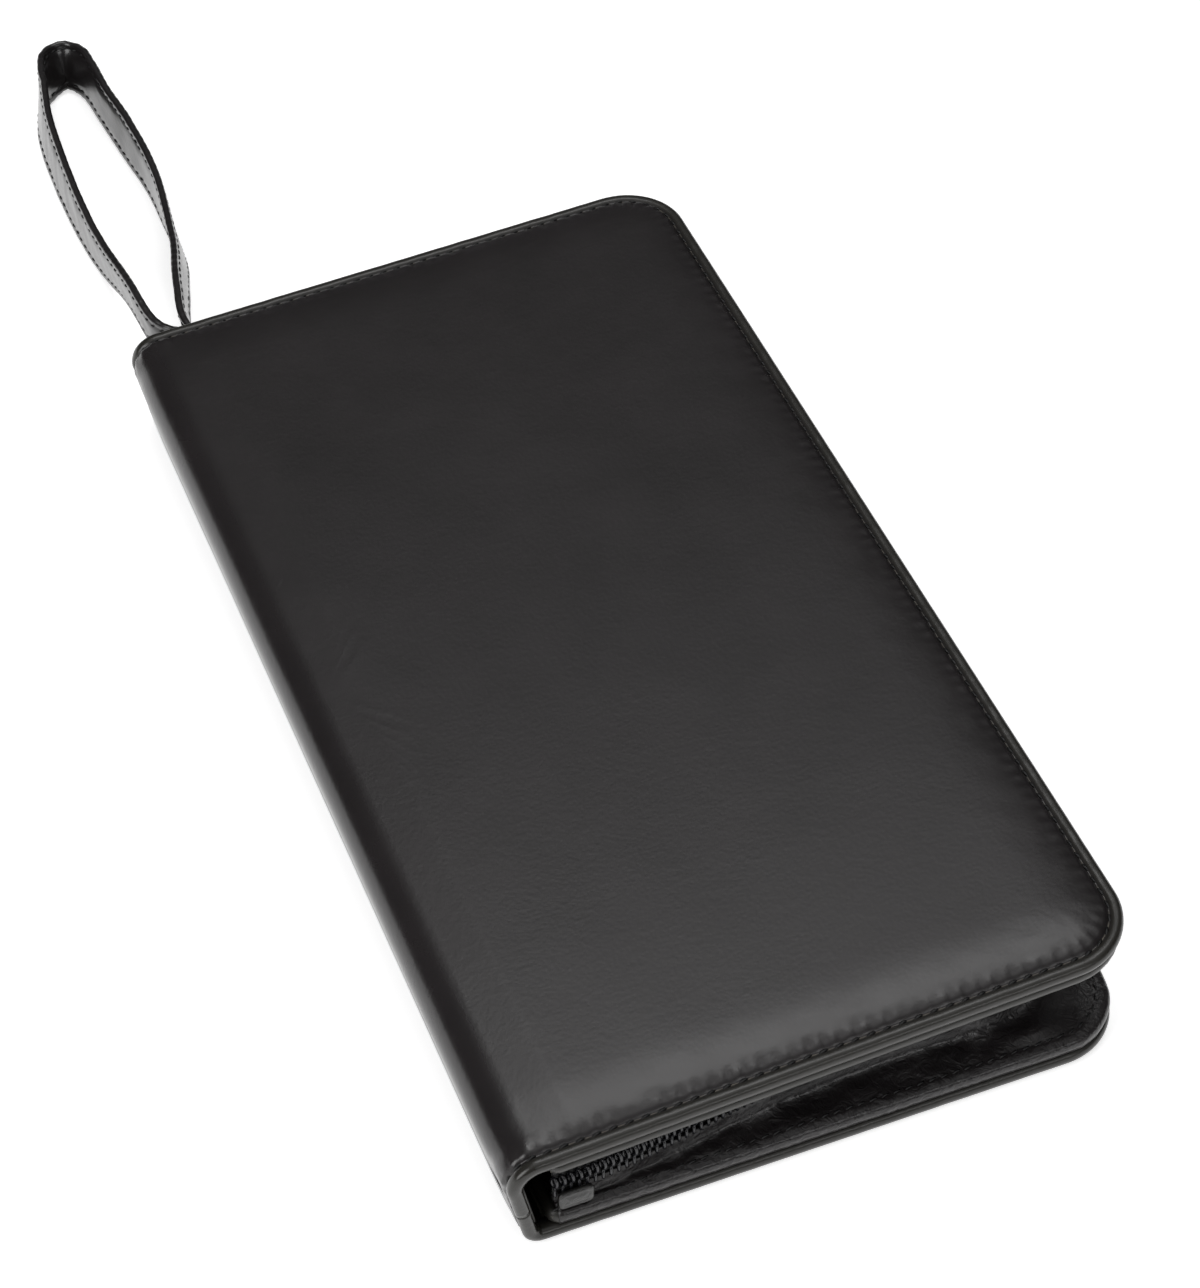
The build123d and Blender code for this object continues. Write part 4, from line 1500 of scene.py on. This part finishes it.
# ------------------------------------------------------------------ the wrist strap
@dataclass
class WristStrap:
    """A flat strap folded round the ring's bar, its two legs parting into a loop that stands on edge."""

    width: float = 12.0
    neck_width: float = 8.5
    thickness: float = 1.8
    eye_radius: float = 1.88
    drop_start: float = 15.0
    drop_length: float = 37.0
    neck_height: float = 12.71
    stitch_inset: float = 1.7
    step: float = 0.85
    right_leg: tuple = ((1.4, 7.9), (4.7, 21.6), (8.6, 38.4), (10.7, 63.8), (9.8, 81.6), (8.2, 98.0))
    tip: tuple = ((7.6, 107.5), (6.4, 113.8), (3.6, 117.3), (0.6, 116.4), (-2.4, 112.8))
    left_leg: tuple = ((-5.0, 106.8), (-8.0, 91.0), (-9.0, 61.5), (-7.3, 29.6), (-6.0, 7.9))
    right_lean: tuple = (
        ((5, -13), (22, -15), (38, -12), (50, -5), (58, 0))
        + ((70, 3), (85, 9), (98, 7), (110, 11), (117, 24))
    )
    left_lean: tuple = (
        ((5, 0), (30, 3), (46, 0), (60, -5), (74, -9)) + ((98, -13), (106, -10), (112, 4), (117, 24))
    )

    def bar(self) -> np.ndarray:
        """The middle of the ring's bar, in plan."""
        for joint in frame["record"]["behaviour"]["joints"]:
            if joint["name"] == "strap_swing":
                return np.array(joint["pos_m"][:2]) / MM
        raise ValueError("the record has no strap_swing")

    def line(self) -> np.ndarray:
        """The strap's middle line in plan, a closed smooth curve at even steps."""
        eye = arc_points((0.0, 0.0), self.eye_radius, math.radians(152), math.radians(236), 9)
        knots = np.array(
            [tuple(k) for k in eye] + list(self.right_leg) + list(self.tip) + list(self.left_leg)
        )
        before, after, later = (np.roll(knots, n, axis=0) for n in (1, -1, -2))
        t = np.linspace(0, 1, 24, endpoint=False)[None, :, None]
        a, b, c, d = (k[:, None, :] for k in (before, knots, after, later))
        smooth = 0.5 * (
            2 * b + (c - a) * t + (2 * a - 5 * b + 4 * c - d) * t**2 + (3 * b - a - 3 * c + d) * t**3
        )
        smooth = smooth.reshape(-1, 2)
        loop = shut(smooth)
        length = run_lengths(loop)
        even = np.linspace(0, length[-1], int(length[-1] / self.step), endpoint=False)
        return np.column_stack([np.interp(even, length, loop[:, i]) for i in (0, 1)])

    def lean(self, x: np.ndarray, y: np.ndarray) -> np.ndarray:
        """How far the strap's top edge leans out of the loop, in radians."""
        right, left = (np.interp(y, *np.transpose(table)) for table in (self.right_lean, self.left_lean))
        side = np.clip((x + 4) / 8, 0, 1)
        return np.radians(side * right + (1 - side) * left)

    def build(self) -> list[bpy.types.Object]:
        """The band and its four rows of stitches.

        Returns:
            The two pieces.
        """
        plan = self.line()
        ahead = unit(np.roll(plan, -1, axis=0) - np.roll(plan, 1, axis=0))
        outward = np.column_stack([ahead[:, 1], -ahead[:, 0], np.zeros(len(plan))])
        y = plan[:, 1]
        eased = ease((y - self.drop_start) / self.drop_length)
        half = (self.neck_width + (self.width - self.neck_width) * eased) / 2
        lean = self.lean(plan[:, 0], y)
        rest = half * np.cos(lean) + self.thickness / 2 * np.abs(np.sin(lean)) + 0.1
        height = self.neck_height + (rest - self.neck_height) * eased
        upright = np.array([0, 0, 1.0])
        sine, cosine = np.sin(lean)[:, None], np.cos(lean)[:, None]
        up = outward * sine + upright * cosine
        across = outward * cosine - upright * sine
        centre = np.column_stack([plan + self.bar(), height])
        along = np.arange(len(plan)) * self.step
        scallop = 0.10 * np.cos(2 * math.pi * along / STRAP_SEAM.pitch) + 0.06 * beat(along, 9.0, 71)
        spots = np.array([1.0, 0.975, 0.92, 0.84, 0.76, 0.70, 0.64, 0.54, 0.36, 0.12])
        full = np.array([0.30, 0.72, 0.92, 0.95, 0.84, 0.74, 0.86, 1.0, 1.04, 1.05])
        side_u = np.concatenate([spots, -spots[::-1]])
        side_n = np.concatenate([full, full[::-1]])
        outline_u = np.concatenate([side_u, side_u[::-1]])
        outline_n = np.concatenate([side_n, -side_n[::-1]]) * self.thickness / 2
        edge_share = np.abs(outline_u) ** 6
        ripple = 0.09 * waves(along[:, None] + outline_u * 0, outline_u * 9, 7.0, 72) * (1 - edge_share)
        thin = 0.85 + 0.15 * np.clip((y - 2) / 4, 0, 1)
        n = outline_n * thin[:, None] + np.where(y[:, None] > 2 * self.eye_radius, ripple, 0)
        u = outline_u * half[:, None] + np.sign(outline_u) * edge_share * scallop[:, None]
        band = sweep("wrist_strap_band", centre, across, up, np.stack([n, u], axis=-1), True)
        Finishes.STRAP.put_on(band)
        loop = np.where(y > 2 * self.eye_radius)[0]
        rows = []
        for face in (1, -1):
            for edge in (1, -1):
                offset = edge * (half - self.stitch_inset)
                spot = centre + across * (face * self.thickness * 0.38) + up * offset[:, None]
                rows.append((spot[loop], across[loop] * face))
        seam = STRAP_SEAM.sew("wrist_strap_seams", rows)
        for piece in (band, seam):
            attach(piece, "wrist_strap")
        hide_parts("strap_band")
        return [band, seam]


# ------------------------------------------------------------------ the inside
@dataclass
class Leaf:
    """A thin leather leaf sewn on a cover's lining: a pocket or a frame round a window."""

    node: str
    fold: Fold
    body: str
    slot: str = "lining_leather"
    radius: float = 3.0
    margin: float = 1.6
    hole: Optional[float] = None
    finish: Finishes = Finishes.LINING

    def build(self) -> list[bpy.types.Object]:
        """The leaf and its seam.

        Returns:
            The leaf, and its seam where it is sewn.
        """
        low, high = local_box(self.node, self.fold)
        plan = SheetPlan(low[0], high[0], low[1], high[1], self.radius, self.radius, arc_count=7)
        top, under = low[2], high[2]
        thick = under - top
        rim = [(1.1, under), (0.25, under), (0.0, under - thick * 0.4), (0.12, top + thick * 0.2)]
        rim += [(0.4, top + 0.02), (1.0, top - 0.03), (self.margin, top + min(0.14, thick / 3))]
        rim += [(self.margin + 0.6, top - 0.03)]
        stop = self.hole if self.hole else min(6.0, plan.deepest() - 1)
        rim += [(self.margin + (stop - self.margin) * s, top - 0.02) for s in (0.4, 0.7)]
        if self.hole:
            rim += [(stop - 0.4, top), (stop, top + thick * 0.4), (stop - 0.3, under)]
        else:
            rim += [(stop - 0.6, top), (stop, top)]
        drift = sum(ord(c) for c in self.node)
        sewn = self.finish is Finishes.LINING

        def relief(p: np.ndarray, y: np.ndarray, along: np.ndarray, inset: float) -> np.ndarray:
            """A faint slackness of the leaf."""
            slack = nearness(inset, self.margin, 1.2) if sewn else 0.0
            return 0.06 * slack * beat(along, 6.0, drift)

        leaf = RingMesh(
            f"{self.node}_leaf",
            plan,
            np.array(rim),
            self.fold.place,
            relief,
            hollow=bool(self.hole),
            capped=not self.hole,
            sewn=sewn,
            seam_inset=self.margin,
        ).build()
        self.finish.put_on(leaf)
        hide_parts(self.node)
        pieces = [leaf]
        if sewn:
            ring = shut(plan.ring(self.margin))
            pieces.append(sew_ring(FINE_SEAM, f"{self.node}_seam", self.fold, ring, top + 0.02, top - 1))
        for piece in pieces:
            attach(piece, self.body)
        return pieces


@dataclass
class Inside:
    """Everything on the linings: pockets, the window and its frame, and the spine's own lining."""

    front: Fold
    back: Fold
    window_border: float = 7.0

    def build(self) -> list[bpy.types.Object]:
        """Builds each leaf and the pen loop.

        Returns:
            All the pieces.
        """
        leaves = [Leaf(f"card_pocket_{step}", self.front, "front_cover") for step in (1, 2, 3, 4)]
        leaves += [Leaf(node, self.back, "back_cover") for node in ("ticket_pocket", "passport_pocket")]
        leaves.append(Leaf("id_window_frame", self.front, "front_cover", hole=self.window_border))
        film = Leaf("id_window_film", self.front, "front_cover", "window_film", 2.0, finish=Finishes.VINYL)
        pieces = [piece for leaf in leaves + [film] for piece in leaf.build()]
        return pieces + [self.spine_lining(), self.pen_loop(), self.end_tab()]

    def spine_lining(self) -> bpy.types.Object:
        """The leather inside the spine, slightly slack between its edges."""
        low, high = (np.array(c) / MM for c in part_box("spine_lining"))
        middle = (low + high) / 2
        lean = self.front.sizes.spine_lean
        tall = (high[2] - low[2]) / math.cos(lean) / 2
        plan = SheetPlan(-tall, tall, low[1], high[1], 2.0, 2.0)

        def place(p: np.ndarray, y: np.ndarray, h: np.ndarray) -> np.ndarray:
            """Sets the lining on the spine's inner face."""
            x = middle[0] - p * math.sin(lean) + h * math.cos(lean)
            z = middle[2] + p * math.cos(lean) + h * math.sin(lean)
            return np.stack(np.broadcast_arrays(x, y, z), axis=-1)

        profile = [(1.2, -0.5), (0.2, -0.45), (0.0, 0.0), (0.2, 0.38), (0.9, 0.5), (2.0, 0.42)]
        profile += [(3.4, 0.5), (4.4, 0.52)]
        piece = RingMesh("spine_lining_leather", plan, np.array(profile), place, None, capped=True).build()
        Finishes.LINING.put_on(piece)
        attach(piece, "spine")
        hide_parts("spine_lining")
        return piece

    def pen_loop(self) -> bpy.types.Object:
        """The pen loop keeps its round shape: its CAD node is dressed in the lining's leather."""
        node = frame["nodes"]["pen_loop"]
        Finishes.LINING.put_on(node)
        return node

    def end_tab(self) -> bpy.types.Object:
        """The leather tab folded over the end of the zip."""
        low, high = (np.array(c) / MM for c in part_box("zipper_end_tab"))
        plan = SheetPlan(low[0], high[0], low[2], high[2], 1.2, 1.2, step=0.8, arc_count=6)
        front = low[1] - 0.75

        def place(p: np.ndarray, y: np.ndarray, h: np.ndarray) -> np.ndarray:
            """Stands the tab upright, facing out of the near edge."""
            return np.stack(np.broadcast_arrays(p, front - h, y), axis=-1)

        profile = [(0.9, -1.1), (0.2, -1.0), (0.0, -0.6), (0.2, -0.15), (0.7, 0.0), (1.1, -0.12)]
        profile += [(1.6, 0.06), (min(2.0, plan.deepest() - 0.2), 0.12)]
        piece = RingMesh("zipper_end_tab_leather", plan, np.array(profile), place, None, capped=True).build()
        Finishes.GUSSET.put_on(piece)
        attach(piece, "back_cover")
        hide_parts("zipper_end_tab")
        return piece


@dataclass
class CarriedParts:
    """The CAD nodes whose own shape is right: they get their finish and stay as they are."""

    def build(self) -> list[bpy.types.Object]:
        """Dresses the metal, the boards and the foam.

        Returns:
            The dressed nodes.
        """
        finishes = {
            Finishes.METAL: ("slider_body", "strap_ring", "zipper_stop_lower", "zipper_stop_upper"),
            Finishes.BOARD: ("back_board", "front_board", "spine_board")
            + ("back_lining_board", "front_lining_board"),
            Finishes.FOAM: ("back_padding", "front_padding"),
        }
        for finish, names in finishes.items():
            for name in names:
                finish.put_on(frame["nodes"][name])
        return [frame["nodes"][name] for names in finishes.values() for name in names]


# ------------------------------------------------------------------ the studio
@dataclass
class Studio:
    """A white sweep, a soft sky and three softboxes, with the camera above the near edge."""

    eye: Vector = Vector((-0.1726, -0.4367, 0.5204))
    looks: Vector = Vector((0.2530, 0.6350, -0.7300))
    lens: float = 95.25
    sensor: float = 36.0
    sweep_half: float = 4000.0
    sweep_drop: float = 0.05

    def softbox(self, name: str, spot: tuple, aim: tuple, size: tuple, watts: float) -> bpy.types.Object:
        """Hangs one softbox.

        Args:
            name: Its name.
            spot: Where it hangs.
            aim: What it points at.
            size: Its two sides.
            watts: Its power.

        Returns:
            The light.
        """
        lamp = bpy.data.lights.new(name, "AREA")
        lamp.shape = "RECTANGLE"
        lamp.size, lamp.size_y = size
        lamp.energy = watts
        light = bpy.data.objects.new(name, lamp)
        light.location = spot
        light.rotation_euler = (Vector(aim) - Vector(spot)).to_track_quat("-Z", "Y").to_euler()
        bpy.context.scene.collection.objects.link(light)
        return light

    def sky(self) -> None:
        """A room that is dark low down and soft grey overhead."""
        world = bpy.data.worlds.new("studio_room")
        world.use_nodes = True
        tree = world.node_tree
        tree.nodes.clear()
        way = add_node(tree, "ShaderNodeTexCoord")
        split = add_node(tree, "ShaderNodeSeparateXYZ", {0: way.outputs["Generated"]})
        ramp = add_node(tree, "ShaderNodeValToRGB", {0: split.outputs["Z"]})
        stops = {0.0: "1c1c1e", 0.3: "303032", 0.5: "585859", 0.74: "616161", 0.88: "c0c0c0"}
        for place, colour in stops.items():
            stop = ramp.color_ramp.elements.new(place)
            stop.color = linear(colour)
        back = add_node(tree, "ShaderNodeBackground", {"Color": ramp.outputs[0], "Strength": 1.0})
        add_node(tree, "ShaderNodeOutputWorld", {0: back.outputs[0]})
        bpy.context.scene.world = world

    def build(self) -> None:
        """Lays the sweep, hangs the lights and sets the camera."""
        scene = bpy.context.scene
        scene.view_settings.view_transform = "Standard"
        half, down = self.sweep_half, -self.sweep_drop
        corners = [(-half, -half, down), (half, -half, down), (half, half, down), (-half, half, down)]
        floor = make_mesh("paper_sweep", np.array(corners), [(0, 1, 2, 3)], {})
        Finishes.FLOOR.put_on(floor)
        self.sky()
        self.softbox("softbox_overhead", (0.2, 0.52, 1.55), (0, 0, 0), (1.0, 0.5), 6)
        self.softbox("softbox_left", (-1.3, -0.5, 0.75), (0, 0, 0), (0.8, 1.1), 12)
        self.softbox("softbox_near", (0.35, -1.35, 0.8), (0, 0, 0.01), (0.9, 0.25), 3)
        camera = bpy.data.cameras.new("camera")
        camera.lens = self.lens
        camera.sensor_width = self.sensor
        camera.clip_start = 0.02
        holder = bpy.data.objects.new("camera", camera)
        holder.location = self.eye
        holder.rotation_euler = self.looks.to_track_quat("-Z", "Y").to_euler()
        scene.collection.objects.link(holder)
        scene.camera = holder


def main() -> None:
    """Builds each part of the organizer in order and reports what it made."""
    logging.basicConfig(level=logging.INFO, format="%(message)s")
    Studio().build()
    sizes = CaseSizes.from_frame()
    run = ZipRun(sizes)
    parts = [Cover(sizes, side) for side in Side]
    parts += [ZipHalf(run, side) for side in Side]
    parts += [WristStrap(), Inside(Fold(sizes, Side.FRONT), Fold(sizes, Side.BACK)), CarriedParts()]
    for part in parts:
        for piece in part.build():
            LOG.info("%s: %s, %d faces", type(part).__name__, piece.name, len(piece.data.polygons))


if __name__ == "__main__":
    main()
